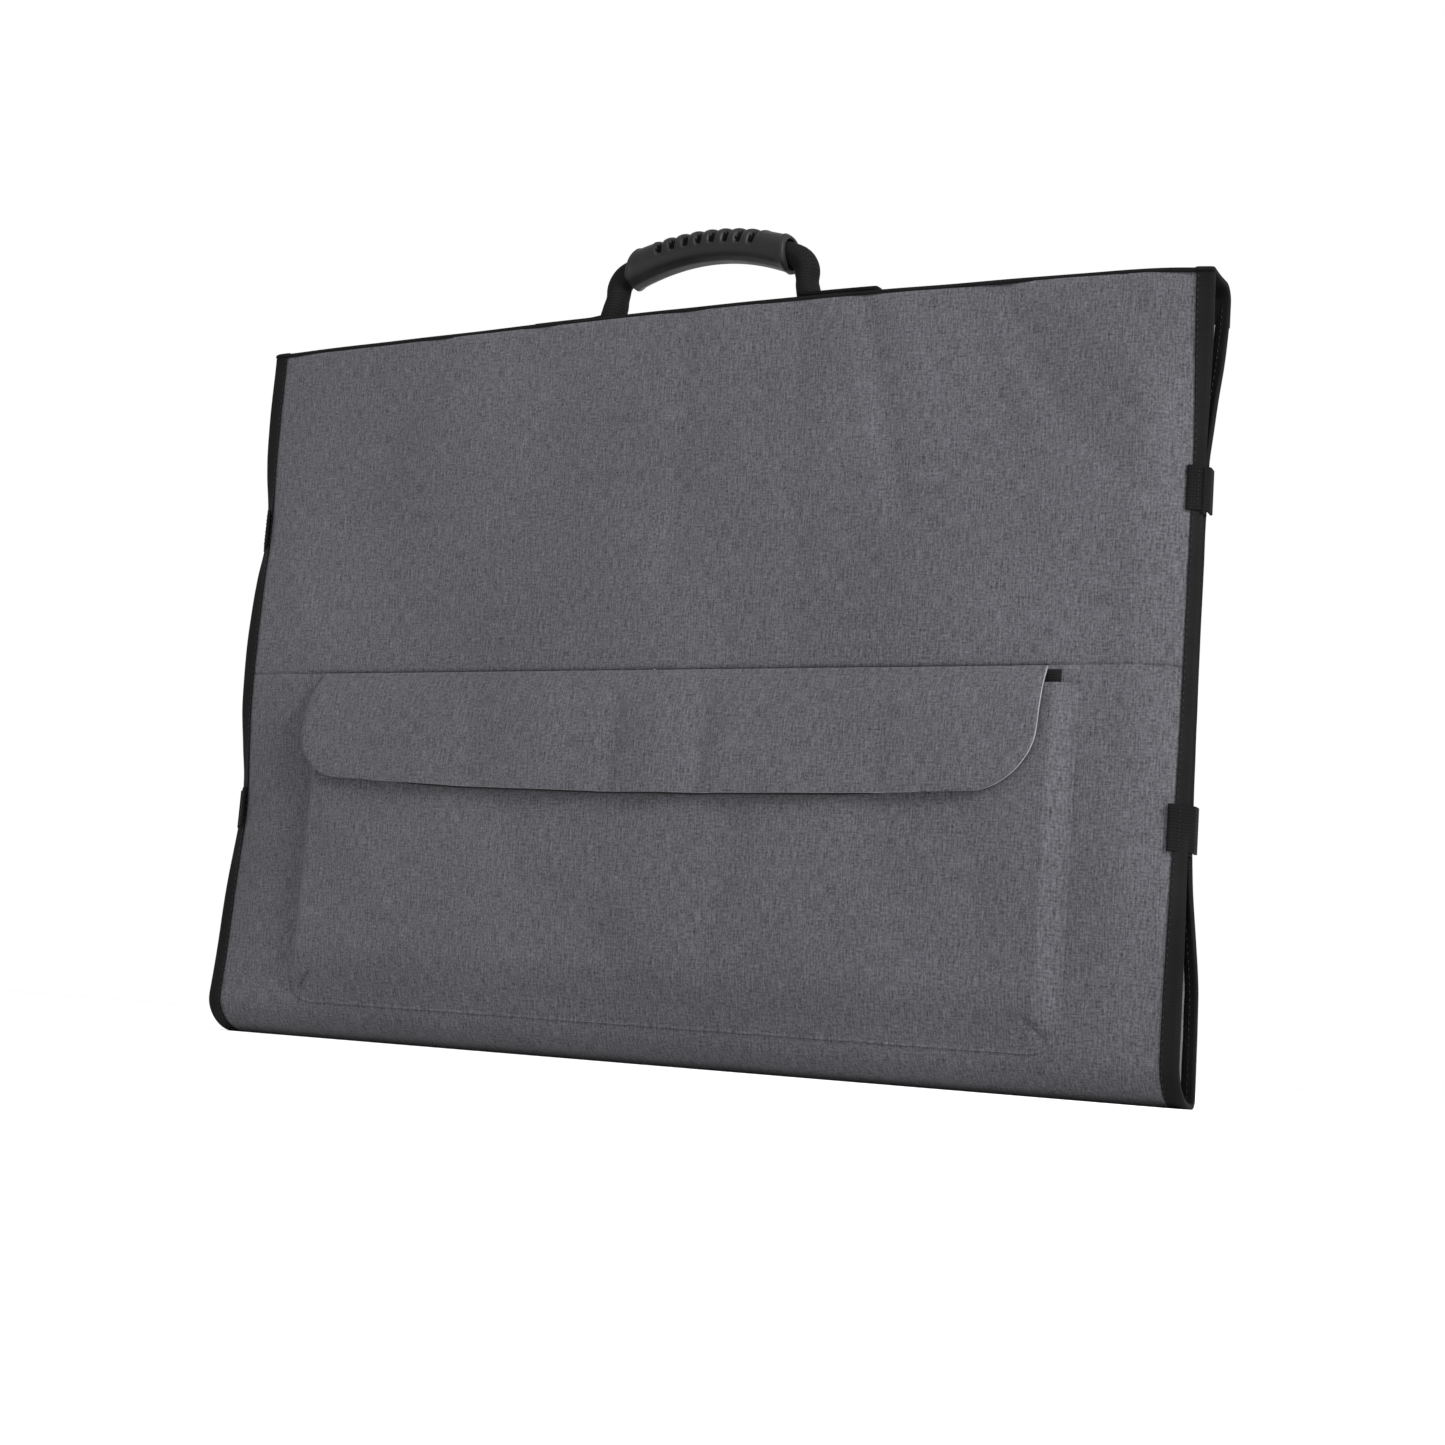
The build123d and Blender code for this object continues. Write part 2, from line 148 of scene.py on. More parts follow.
# Each side edge: (height, how far the cloth's edge is drawn in, x of the tape's outer edge, how far
# that edge is drawn in), in millimetres. The keepers pull the two covers together.
side_edges = {
    ("front", 1): [
        (24, 0, 320, 0.3), (55, 0.2, 319.8, 1), (86, 1.6, 318.8, 5), (125, 4, 316.8, 10.5),
        (165, 6.5, 315.6, 14), (213, 8.8, 315.4, 14.8), (266, 9.7, 315.4, 14.8), (310, 10.6, 315.4, 14.8),
        (351, 10.8, 315.8, 14.2), (376, 8, 317.2, 10.8), (410, 3, 319.3, 5), (435, 0.4, 320, 1),
        (449, 0, 320, 0.3),
    ],
    ("front", -1): [
        (18, 0, 320, 0.4), (48, 2, 319.6, 3), (87, 3.6, 319.2, 5), (116, 5, 319, 8.6),
        (145, 6.4, 318.8, 12), (165, 4.4, 318.9, 11.6), (185, 2.4, 319.2, 7.4), (215, 0.4, 319.8, 2.7),
        (255, 0, 320, 1.4), (296, 0.3, 319.7, 4.4), (316, 0.8, 319.2, 8), (330, 1, 319, 9),
        (347, 0.8, 319.2, 7.4), (367, 0.4, 319.7, 3.4), (392, 0, 320, 0.7), (449, 0, 320, 0.3),
    ],
    ("back", 1): [
        (6, 0, 320, 0.3), (57, 1.2, 319.8, 2), (73, 2.6, 319.4, 4.5), (88, 4.4, 318.7, 8),
        (104, 6, 317.6, 11), (119, 7.6, 316.8, 13), (140, 9, 316, 14.2), (213, 9.6, 315.4, 14.4),
        (310, 9.6, 315.4, 14.4), (345, 9.6, 315.8, 14), (362, 8.4, 316.8, 12.3), (381, 6, 318, 9.6),
        (400, 3.4, 319.2, 6), (419, 1.2, 319.8, 2.4), (436, 0, 320, 0.3), (460, 0, 320, 0.3),
    ],
    ("back", -1): [
        (6, 0, 320, 0.3), (57, 4, 319.6, 6), (88, 10, 319.2, 14), (116, 14, 319, 18.6),
        (145, 14, 318.8, 16.8), (165, 14, 318.9, 17.4), (185, 16, 319.2, 21.4), (215, 19, 319.8, 26),
        (255, 20, 320, 27.2), (296, 18, 319.7, 24.2), (316, 16, 319.2, 20.6), (330, 15, 319, 19.6),
        (350, 15, 319.2, 20), (367, 12, 319.6, 17), (392, 6, 320, 9), (415, 2, 320, 3),
        (436, 0, 320, 0.3), (460, 0, 320, 0.3),
    ],
}
# Each cover: its face, how deep and how high its bottom fold is, and which way is into the case.
cover_faces = {"front": (front_y, *front_fold, 1), "back": (back_y, *back_fold, -1)}
front_end = front_fold[1] - quarter * math.hypot(*front_fold) / math.sqrt(2)
back_end = back_fold[1] - quarter * math.hypot(*back_fold) / math.sqrt(2)

fold_depth = 1.25  # how much deeper than drawn the folds lie
# Soft folds in the front: a chain of (x, height) points, the fold's half width and its rise.
front_folds = [
    ([(-186, 444), (-245, 334)], 11, -0.8),
    ([(-160, 440), (-205, 350)], 12, 0.5),
    ([(-110, 446), (-140, 374)], 10, -0.6),
    ([(-60, 440), (-75, 330)], 16, 0.4),
    ([(-5, 446), (-3, 287)], 8, -0.8),
    ([(30, 440), (34, 300)], 14, 0.5),
    ([(72, 444), (76, 344), (80, 255)], 9, -0.6),
    ([(114, 446), (135, 359), (144, 323)], 8, -1.2),
    ([(140, 440), (160, 370)], 10, 0.6),
    ([(180, 440), (208, 366)], 9, -0.7),
    ([(198, 445), (243, 364), (296, 322)], 10, -1.2),
    ([(236, 440), (305, 358)], 11, 0.9),
    ([(268, 440), (308, 399)], 8, -0.8),
    ([(254, 262), (299, 250)], 7, -0.6),
    ([(-290, 300), (-262, 250)], 12, 0.6),
    ([(262, 215), (296, 150)], 10, -0.6),
]


def along(stations, place, column=1):
    """The value in a column at a place on a smooth line through stations, which rise in column 0."""
    last = len(stations) - 1
    place = min(max(place, stations[0][0]), stations[last][0])
    k = next(n for n in range(last) if place <= stations[n + 1][0])
    before, a, b, after = (stations[min(max(k + n, 0), last)] for n in (-1, 0, 1, 2))
    span = b[0] - a[0]
    share = (place - a[0]) / span
    slope_a = (b[column] - before[column]) / (b[0] - before[0]) * span
    slope_b = (after[column] - a[column]) / (after[0] - a[0]) * span
    rise = b[column] - a[column]
    curve = slope_a + (3 * rise - 2 * slope_a - slope_b) * share + (slope_a + slope_b - 2 * rise) * share**2
    return a[column] + share * curve


def ease(share):
    """0 to 1, with a soft start and end."""
    share = min(max(share, 0.0), 1.0)
    return share * share * (3 - 2 * share)


def top_at(x):
    """Height of the case's top line at x."""
    return along(top_line, x / mm) * mm


def round_bottom(cover, length_up):
    """The point of a cover's face that far up its cloth, and the direction into the case there."""
    face_y, deep, high, inward = cover_faces[cover]
    if length_up >= high:
        return Vector((0, face_y, length_up)), Vector((0, inward, 0))
    round_length = quarter * math.hypot(deep, high) / math.sqrt(2)
    turn = min((high - length_up) / round_length, 1) * quarter
    depth = deep - deep * math.cos(turn)
    point = Vector((0, face_y + inward * depth, high - high * math.sin(turn)))
    return point, Vector((0, inward * high * math.cos(turn), deep * math.sin(turn))).normalized()


def relief(x, z, folds):
    """How far the soft folds lift the cloth at (x, z)."""
    here = Vector((x, z)) / mm
    lift = 0.0
    for points, half_width, rise in folds:
        nearest = 1000.0
        for start, end in zip(points, points[1:]):
            start, end = Vector(start), Vector(end)
            run = end - start
            share = min(max((here - start).dot(run) / run.length_squared, 0), 1)
            nearest = min(nearest, (here - start - run * share).length)
        lift += rise * math.exp(-((nearest / half_width) ** 2))
    return lift * fold_depth * mm


def margin_share(x):
    """0 over the board, and 1 where the cloth goes under the side tape."""
    return max(abs(x) - board_x, 0) / (grey_x - board_x)


def cover_point(cover, x, length_up, behind, folds=(), slack=1.0):
    """A point of a cover's cloth at x, so far behind its face. Slack 0 is flat on the board."""
    point, inward = round_bottom(cover, length_up)
    share = margin_share(x)
    side = 1 if x > 0 else -1
    drawn = along(side_edges[cover, side], point.z / mm) * mm
    past_edge = 0.0
    if share > 1:
        outer_x, outer_drawn = (along(side_edges[cover, side], point.z / mm, n) * mm for n in (2, 3))
        past_edge = (outer_drawn - drawn) * (abs(x) - grey_x) / (outer_x - grey_x)
    drawn = drawn * min(share, 1) ** 1.8 + past_edge
    puffed = 0.9 * mm + 0.5 * mm * noise.noise(Vector((x * 9, 3.1, point.z * 9)))
    puffed += 0.25 * mm * noise.noise(Vector((x * 28, 7.7, point.z * 28))) + relief(x, point.z, folds)
    puffed *= ease((point.z - 2 * mm) / (50 * mm)) * (1 - ease(share)) * slack
    point.x = x
    return point + inward * (behind + drawn - puffed)


def cloth_sheet(name, across, down, step, place, flip=False, closed=False):
    """A flat grid of cloth whose own flat size is its UV map, with every point then put in place.
    A closed one is rolled into a tube across its width, and its ends are filled."""
    sheet = bmesh.new()
    counts = [max(1, round(abs(span[1] - span[0]) / size)) for span, size in zip((across, down), step)]
    bmesh.ops.create_grid(sheet, x_segments=counts[0], y_segments=counts[1], size=0.5)
    size = Matrix.Diagonal((across[1] - across[0], down[1] - down[0], 1, 1))
    middle = Vector(((across[0] + across[1]) / 2, (down[0] + down[1]) / 2, 0))
    bmesh.ops.transform(sheet, matrix=Matrix.Translation(middle) @ size, verts=sheet.verts)
    flat_size = sheet.loops.layers.uv.new("cloth")
    for face in sheet.faces:
        face.smooth = True
        for loop in face.loops:
            loop[flat_size].uv = loop.vert.co.xy
    for vert in sheet.verts:
        vert.co = place(vert.co.x, vert.co.y)
    if closed:
        bmesh.ops.remove_doubles(sheet, verts=sheet.verts, dist=0.01 * mm)
        bmesh.ops.holes_fill(sheet, edges=[edge for edge in sheet.edges if edge.is_boundary])
        bmesh.ops.recalc_face_normals(sheet, faces=sheet.faces)
    elif flip:
        bmesh.ops.reverse_faces(sheet, faces=sheet.faces)
    return piece_from(sheet, name)


def piece_from(mesh, name):
    """Turns a finished bmesh into an object of that name."""
    data = bpy.data.meshes.new(name)
    mesh.to_mesh(data)
    mesh.free()
    piece = bpy.data.objects.new(name, data)
    bpy.context.scene.collection.objects.link(piece)
    return piece


def thicken(piece, thickness, rim_material=0):
    """Gives a sheet its thickness, behind its face."""
    wall = piece.modifiers.new("thickness", "SOLIDIFY")
    wall.thickness = thickness
    wall.offset = -1
    wall.material_offset_rim = rim_material


def shader_of(name, roughness, specular, sheen=0.0):
    """A new material, its node tree and its shader, with the finish set on the shader itself."""
    material = bpy.data.materials.new(name)
    material.use_nodes = True
    tree = material.node_tree
    shader = tree.nodes["Principled BSDF"]
    shader.inputs["Roughness"].default_value = roughness
    shader.inputs["Specular IOR Level"].default_value = specular
    shader.inputs["Sheen Weight"].default_value = sheen
    shader.inputs["Sheen Roughness"].default_value = 0.5
    return material, tree, shader


def wire(tree, kind, settings=(), **inputs):
    """Adds a node, sets its own settings, and joins or fills its inputs by name."""
    node = tree.nodes.new(kind)
    for setting, value in dict(settings).items():
        setattr(node, setting, value)
    for label, value in inputs.items():
        socket = next(s for s in node.inputs if s.name.replace(" ", "") == label and s.enabled)
        if isinstance(value, bpy.types.NodeSocket):
            tree.links.new(value, socket)
        else:
            socket.default_value = value
    return node


def output(node, name):
    """The node's enabled output of that name."""
    return next(s for s in node.outputs if s.name == name and s.enabled)


def yarn_pattern(tree, place, scale, detail=3.0):
    """Streaks of yarn: noise drawn out by an uneven scale, in repeats per metre."""
    spread = wire(tree, "ShaderNodeMapping", Vector=place, Scale=(*scale, 1.0))
    grain = wire(tree, "ShaderNodeTexNoise", Vector=spread.outputs["Vector"], Scale=1.0, Detail=detail)
    return output(grain, "Fac" if "Fac" in grain.outputs else "Factor")


def ranged(tree, value, low, high, to_low, to_high):
    """Maps a value from one range to another."""
    named = {"Value": value, "FromMin": low, "FromMax": high, "ToMin": to_low, "ToMax": to_high}
    return wire(tree, "ShaderNodeMapRange", **named).outputs["Result"]


def combine(tree, operation, first, second):
    """One sum, product or other operation on two values."""
    node = tree.nodes.new("ShaderNodeMath")
    node.operation = operation
    for socket, value in zip(node.inputs, (first, second)):
        if isinstance(value, bpy.types.NodeSocket):
            tree.links.new(value, socket)
        else:
            socket.default_value = value
    return node.outputs[0]


def tint(tree, colour, amount):
    """A base colour made lighter or darker by an amount around 1."""
    node = tree.nodes.new("ShaderNodeVectorMath")
    node.operation = "SCALE"
    node.inputs[0].default_value = colour
    tree.links.new(amount, node.inputs["Scale"])
    return node.outputs[0]


def melange(name, colour, contrast, sheen=0.05):
    """Plain-woven melange cloth: light and dark yarns both ways, thick slubs, and a fine weave."""
    material, tree, shader = shader_of(name, 0.92, 0.12, sheen)
    place = wire(tree, "ShaderNodeUVMap", {"uv_map": "cloth"}).outputs["UV"]
    warp = yarn_pattern(tree, place, (1250, 110), 2.0)
    weft = yarn_pattern(tree, place, (150, 1350), 2.0)
    flecks = yarn_pattern(tree, place, (820, 640), 2.0)
    slubs = yarn_pattern(tree, place, (480, 26), 1.0)
    cloud = yarn_pattern(tree, place, (9, 6), 3.0)
    both = combine(tree, "ADD", combine(tree, "MULTIPLY", warp, 0.6), combine(tree, "MULTIPLY", weft, 0.4))
    tone = ranged(tree, both, 0.34, 0.66, 1 - contrast, 1 + contrast)
    tone = combine(tree, "ADD", tone, ranged(tree, flecks, 0.3, 0.7, -contrast * 0.8, contrast * 0.8))
    tone = combine(tree, "ADD", tone, ranged(tree, slubs, 0.62, 0.78, 0.0, 0.22))
    tone = combine(tree, "MULTIPLY", tone, ranged(tree, cloud, 0.3, 0.7, 0.9, 1.1))
    tree.links.new(tint(tree, colour, tone), shader.inputs["Base Color"])
    height = combine(tree, "ADD", both, combine(tree, "MULTIPLY", flecks, 0.6))
    bump = wire(tree, "ShaderNodeBump", Strength=0.5, Distance=0.35 * mm, Height=height)
    tree.links.new(bump.outputs["Normal"], shader.inputs["Normal"])
    return material


cover_cloth = melange("grey_melange_cloth", (0.0525, 0.0515, 0.0575), 0.43)


def upper_front_point(x, z):
    """The upper panel reaches up to the top line and is drawn into the seam at its foot."""
    stretch = (top_at(x) - 2.4 * mm - seam_z) / (cover_top - seam_z)
    seam_dip = 0.38 * mm * math.exp(-(((z - seam_z) / (1.5 * mm)) ** 2))
    return cover_point("front", x, seam_z + (z - seam_z) * stretch, seam_dip, front_folds)


def lower_front_point(x, z):
    """The lower panel is drawn into the seam at its top."""
    seam_dip = 0.38 * mm * math.exp(-(((z - seam_z) / (1.5 * mm)) ** 2))
    return cover_point("front", x, z, seam_dip, front_folds)


cloth_across = (-grey_x - cloth_tuck, grey_x + cloth_tuck)
square_step = (cloth_step, cloth_step)

upper_front = cloth_sheet(
    "front_upper_cloth", cloth_across, (seam_z, cover_top), square_step, upper_front_point,
)
thicken(upper_front, cloth_thickness)
upper_front.data.materials.append(cover_cloth)
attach(upper_front, "front_cover")
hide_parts("front_upper_panel", "front_margin_left", "front_margin_right")

lower_front = cloth_sheet(
    "front_lower_cloth", cloth_across, (front_end, seam_z), square_step, lower_front_point,
)
thicken(lower_front, cloth_thickness)
lower_front.data.materials.append(cover_cloth)
front_fold_start = (0, front_y, 17 * mm)
front_fold_end = (0, front_y + 17 * mm, 0)
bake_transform(lower_front)
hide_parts("front_lower_panel", "bottom_fold")


# ---- Back cover cloth ----------------------------------------------------------------------------
# One panel of the same cloth on its own board. It comes round a tight fold from the middle of the
# spine and goes up under the black strip's turned-down edge.
back_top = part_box("back_panel")[1].z
back_folds = [
    ([(-210, 430), (-150, 120)], 22, -0.7),
    ([(-40, 420), (-20, 200)], 18, 0.6),
    ([(120, 430), (200, 260)], 16, -0.7),
    ([(230, 200), (120, 60)], 20, 0.6),
]
back_cloth_top = back_top + 6 * mm
tuck_low = 416 * mm  # where the cloth starts to go in
tuck_depth = 3.2 * mm


def back_cloth_point(x, z):
    """The back's cloth goes in behind the back's face near its top, and deepest between the sides."""
    under_strip = tuck_depth * ease((z - tuck_low) / (10 * mm)) * (1 - ease(margin_share(x)))
    return cover_point("back", x, z, under_strip, back_folds)


back_cloth = cloth_sheet(
    "back_cloth", cloth_across, (back_end, back_cloth_top), (4 * mm, 4 * mm), back_cloth_point, flip=True,
)
thicken(back_cloth, cloth_thickness)
back_cloth.data.materials.append(cover_cloth)
back_fold_start = (0, back_y, back_fold[1])
back_fold_end = (0, back_y - back_fold[0], 0)
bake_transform(back_cloth)
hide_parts("back_panel", "back_margin_left", "back_margin_right")


# ---- Linings and stiffening boards ---------------------------------------------------------------
# Each cover holds a sheet of stiff grey board, between the cloth and a light grey woven lining. The
# linings carry on round the bottom, and are sewn in under the side tapes with the cloth.
lining_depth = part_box("front_board")[1].y - front_y + 0.9 * mm
lining_at_edge = 1.9 * mm
lining_edge_x = grey_x + 5.5 * mm
lining_cloth = melange("light_grey_lining", (0.13, 0.13, 0.135), 0.15)


def lining_point(cover, x, z):
    """A lining lies on the board and comes together with the cloth at the side tape."""
    behind = lining_depth + (lining_at_edge - lining_depth) * ease(margin_share(x))
    return cover_point(cover, x, z, behind, (), 0.0)


for cover, end, top, body, start_point, end_point, flip, nodes in (
    ("front", front_end, cover_top - 1 * mm, "front_cover", front_fold_start, front_fold_end, True,
     ["front_lining", "spine_lining"]),
    ("back", back_end, back_top + 8 * mm, "back_cover", back_fold_start, back_fold_end, False,
     ["back_lining"]),
):
    lining = cloth_sheet(
        f"{cover}_lining_cloth", (-lining_edge_x, lining_edge_x), (end, top), (5 * mm, 5 * mm),
        lambda x, z, cover=cover: lining_point(cover, x, z), flip=flip,
    )
    thicken(lining, 0.6 * mm)
    lining.data.materials.append(lining_cloth)
    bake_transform(lining)
    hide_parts(*nodes)

board_material, tree, shader = shader_of("grey_stiffening_board", 0.7, 0.15)
place = wire(tree, "ShaderNodeTexCoord").outputs["Object"]
board_tone = yarn_pattern(tree, place, (260, 260), 4.0)
board_colour = tint(tree, (0.06, 0.06, 0.065), ranged(tree, board_tone, 0.3, 0.7, 0.85, 1.15))
tree.links.new(board_colour, shader.inputs["Base Color"])
bump = wire(tree, "ShaderNodeBump", Strength=0.3, Distance=0.2 * mm, Height=board_tone)
tree.links.new(bump.outputs["Normal"], shader.inputs["Normal"])
for name in ("front_board", "back_board", "handle_backing"):
    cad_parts[name].data.materials.clear()
    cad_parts[name].data.materials.append(board_material)
spine_board = cloth_sheet(
    "spine_board_strip", (-board_x, board_x), (front_end + 1 * mm, front_end + 13 * mm), (8 * mm, 2 * mm),
    lambda x, z: cover_point("front", x, z, cloth_thickness + 0.1 * mm),
)
thicken(spine_board, 1.6 * mm)
spine_board.data.materials.append(board_material)
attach(spine_board, "bottom_spine")
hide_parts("spine_board")


# ---- Side tapes ----------------------------------------------------------------------------------
# Black grosgrain tape is folded over the raw edges of every cover and sewn through near its inner
# side. It follows each cover's edge and goes round under the case.
tape_over_cloth = 1.0 * mm
tape_depth = 3.6 * mm
tape_inner_share = 0.5  # the tape is folded over with less of it inside than outside
tape_width = 11.5 * mm
stitch_pitch = 4 * mm
stitch_size = (0.3 * mm, 1.4 * mm)


def ribbed_tape(name, colour, ribs, roughness=0.75):
    """Black woven tape: fine ribs across it, a soft weave along it, paler where it has rubbed."""
    material, tree, shader = shader_of(name, roughness, 0.05)
    place = wire(tree, "ShaderNodeUVMap", {"uv_map": "cloth"}).outputs["UV"]
    spread = wire(tree, "ShaderNodeMapping", Vector=place, Scale=(ribs[0], ribs[1], 1.0))
    split = wire(tree, "ShaderNodeSeparateXYZ", Vector=spread.outputs["Vector"])
    rib = combine(tree, "SINE", split.outputs["Y"], 0.0)
    cross = combine(tree, "SINE", split.outputs["X"], 0.0)
    worn = yarn_pattern(tree, place, (60, 25), 4.0)
    weave = combine(tree, "ADD", combine(tree, "MULTIPLY", rib, 0.7), combine(tree, "MULTIPLY", cross, 0.3))
    rib_tone = ranged(tree, weave, -1, 1, 0.72, 1.28)
    tone = combine(tree, "MULTIPLY", rib_tone, ranged(tree, worn, 0.3, 0.75, 0.8, 1.45))
    tree.links.new(tint(tree, colour, tone), shader.inputs["Base Color"])
    bump = wire(tree, "ShaderNodeBump", Strength=0.6, Distance=0.25 * mm, Height=weave)
    tree.links.new(bump.outputs["Normal"], shader.inputs["Normal"])
    return material


turn_per_mm = 2 * math.pi / mm
edge_tape = ribbed_tape("black_edge_tape", (0.0054, 0.0054, 0.0055), (turn_per_mm / 1.6, turn_per_mm / 0.9))
sewing_thread, tree, shader = shader_of("black_sewing_thread", 0.5, 0.15)
place = wire(tree, "ShaderNodeTexCoord").outputs["Object"]
thread_tone = ranged(tree, yarn_pattern(tree, place, (900, 900)), 0.3, 0.7, 0.6, 1.4)
tree.links.new(tint(tree, (0.0075, 0.0075, 0.0078), thread_tone), shader.inputs["Base Color"])


def tape_point(cover, side, round_tape, length_up, lift=0.0):
    """A point of the folded tape: round_tape goes once round it, from its inner side over its face."""
    point, inward = round_bottom(cover, length_up)
    stations = side_edges[cover, side]
    drawn, outer_x, outer_drawn = (along(stations, point.z / mm, n) * mm for n in (1, 2, 3))
    across = Vector((outer_x - grey_x, outer_drawn - drawn)).normalized()
    width = Vector((outer_x - grey_x, outer_drawn - drawn)).length
    cosine, sine = math.cos(round_tape), math.sin(round_tape)
    out = width * (0.5 - 0.5 * math.copysign(abs(cosine) ** 0.35, cosine))
    out = width - (width - out) * (tape_inner_share + (1 - tape_inner_share) * (0.5 + 0.5 * sine))
    swell = 0.25 * mm * noise.noise(Vector((side * 3.0, length_up * 45, 1.7)))
    depth = tape_depth * (0.5 - 0.5 * math.copysign(abs(sine) ** 0.5, sine)) - tape_over_cloth
    depth += swell - lift
    x = grey_x + across.x * out - across.y * depth
    behind = drawn + across.y * out + across.x * depth
    return point + Vector((side * x, 0, 0)) + inward * behind


def add_stitches(mesh, centres, size, material_index):
    """Sews a row of short thread stitches into a mesh: each has a centre and the way that it runs."""
    for centre, run in centres:
        turn = run.to_track_quat("Z", "Y").to_matrix().to_4x4()
        shape = Matrix.Translation(centre) @ turn @ Matrix.Diagonal((size[0], size[0], size[1], 1))
        made = bmesh.ops.create_icosphere(mesh, subdivisions=1, radius=1.0, matrix=shape)
        for face in {face for vert in made["verts"] for face in vert.link_faces}:
            face.material_index = material_index
            face.smooth = True


def sew(piece, rows, size=stitch_size, thread=sewing_thread):
    """Adds rows of stitches to a finished piece, each row a list of points about a stitch apart."""
    piece.data.materials.append(thread)
    mesh = bmesh.new()
    mesh.from_object(piece, bpy.context.evaluated_depsgraph_get())
    piece.modifiers.clear()
    for points in rows:
        centres = [((a + b) / 2, b - a) for a, b in zip(points, points[1:])]
        add_stitches(mesh, centres, size, len(piece.data.materials) - 1)
    mesh.to_mesh(piece.data)
    mesh.free()


def row_between(low, high, pitch=stitch_pitch):
    """Places from low to high, a stitch's pitch apart."""
    count = round((high - low) / pitch)
    return [low + (high - low) * n / count for n in range(count + 1)]


for cover, end, top, start_point, end_point in (
    ("front", front_end, cover_top + 0.5 * mm, front_fold_start, front_fold_end),
    ("back", back_end, back_top + 4 * mm, back_fold_start, back_fold_end),
):
    for side, hand in ((-1, "left"), (1, "right")):
        tape = cloth_sheet(
            f"{cover}_edge_tape_{hand}", (0, 2 * math.pi), (end, top), (2 * math.pi / 22, 3 * mm),
            lambda turn, z, cover=cover, side=side: tape_point(cover, side, turn, z), closed=True,
        )
        for loop in tape.data.uv_layers["cloth"].data:
            loop.uv.x *= tape_width / math.pi
        tape.data.materials.append(edge_tape)
        heights = row_between(end + 2 * mm, top - 2 * mm)
        sew(tape, [[tape_point(cover, side, angle, z, 0.05 * mm * out) for z in heights]
                   for angle, out in ((math.radians(78), 1), (math.radians(276), -1))])
        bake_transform(tape)
        replaced = [f"{cover}_binding_{hand}"] + ([f"spine_binding_{hand}"] if cover == "front" else [])
        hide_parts(*replaced)


# ---- Top strip, closing lip and tapes ------------------------------------------------------------
# A black strip closes the top: it lies over the front cover's edge, goes across the top and down
# the back, and has tape round its two ends. A lip below it closes on the front cover's lining with
# hook and loop tape.
strip_thickness = 2.0 * mm
strip_front_radius = 1.3 * mm
strip_back_radius = 9 * mm
strip_front_height = 2.6 * mm
strip_flat = back_y - strip_back_radius - front_y - strip_front_radius
strip_marks = [strip_front_height - strip_front_radius]
for stretch in (strip_front_radius * quarter, strip_flat, strip_back_radius * quarter):
    strip_marks.append(strip_marks[-1] + stretch)


def strip_section(x, length_over):
    """The point of the strip's outer face that far over the top, and the way out of the case there."""
    top = top_at(x)
    if length_over <= strip_marks[0]:
        return Vector((x, front_y - 0.5 * mm, top - strip_front_height + length_over)), Vector((0, -1, 0))
    if length_over <= strip_marks[1]:
        turn = (length_over - strip_marks[0]) / strip_front_radius
        out = Vector((0, -math.cos(turn), math.sin(turn)))
        centre = Vector((x, front_y - 0.5 * mm + strip_front_radius, top - strip_front_radius))
        return centre + out * strip_front_radius, out
    if length_over <= strip_marks[2]:
        y = front_y + strip_front_radius + length_over - strip_marks[1]
        sag = 0.5 * mm * math.sin(math.pi * (length_over - strip_marks[1]) / strip_flat)
        return Vector((x, y, top - sag)), Vector((0, 0, 1))
    if length_over <= strip_marks[3]:
        turn = (length_over - strip_marks[2]) / strip_back_radius
        out = Vector((0, math.sin(turn), math.cos(turn)))
        return Vector((x, back_y - strip_back_radius, top - strip_back_radius)) + out * strip_back_radius, out
    return Vector((x, back_y, top - strip_back_radius - (length_over - strip_marks[3]))), Vector((0, 1, 0))


def strip_point(x, length_over):
    """The strip's outer face, with a little unevenness."""
    point, out = strip_section(x, length_over)
    return point + out * (0.4 * mm + 0.25 * mm * noise.noise(Vector((x * 22, point.y * 30, 5.0))))


strip_end = strip_marks[3] + 12 * mm
strip_half_length = 319 * mm
strip_tape = ribbed_tape("black_top_strip", (0.0038, 0.0038, 0.004), (turn_per_mm / 1.4, turn_per_mm / 1.1))
top_strip = cloth_sheet(
    "top_strip_cloth", (-strip_half_length, strip_half_length), (0, strip_end), (5 * mm, 1.3 * mm),
    strip_point,
)
thicken(top_strip, strip_thickness)
top_strip.data.materials.append(strip_tape)
sew(top_strip, [
    [strip_point(x, strip_end - 2.5 * mm) for x in row_between(-305 * mm, 305 * mm)],
], (0.2 * mm, 1.3 * mm))
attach(top_strip, "back_cover")
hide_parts("top_strip", "top_strip_corner", "top_strip_back")


def strip_end_point(side, round_tape, length_over):
    """A point of the tape folded over one end of the strip."""
    cosine, sine = math.cos(round_tape), math.sin(round_tape)
    out = tape_width * (0.5 - 0.5 * math.copysign(abs(cosine) ** 0.35, cosine))
    depth = (strip_thickness + 1.5 * mm) * (0.5 - 0.5 * math.copysign(abs(sine) ** 0.5, sine)) - 1.0 * mm
    point, direction = strip_section(side * (grey_x + out), length_over)
    return point - direction * depth


for side, hand in ((-1, "left"), (1, "right")):
    end_tape = cloth_sheet(
        f"top_strip_end_tape_{hand}", (0, 2 * math.pi), (0.6 * mm, strip_end + 2 * mm),
        (2 * math.pi / 22, 1.3 * mm),
        lambda turn, s, side=side: strip_end_point(side, turn, s), closed=True,
    )
    for loop in end_tape.data.uv_layers["cloth"].data:
        loop.uv.x *= tape_width / math.pi
    end_tape.data.materials.append(edge_tape)
    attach(end_tape, "back_cover")


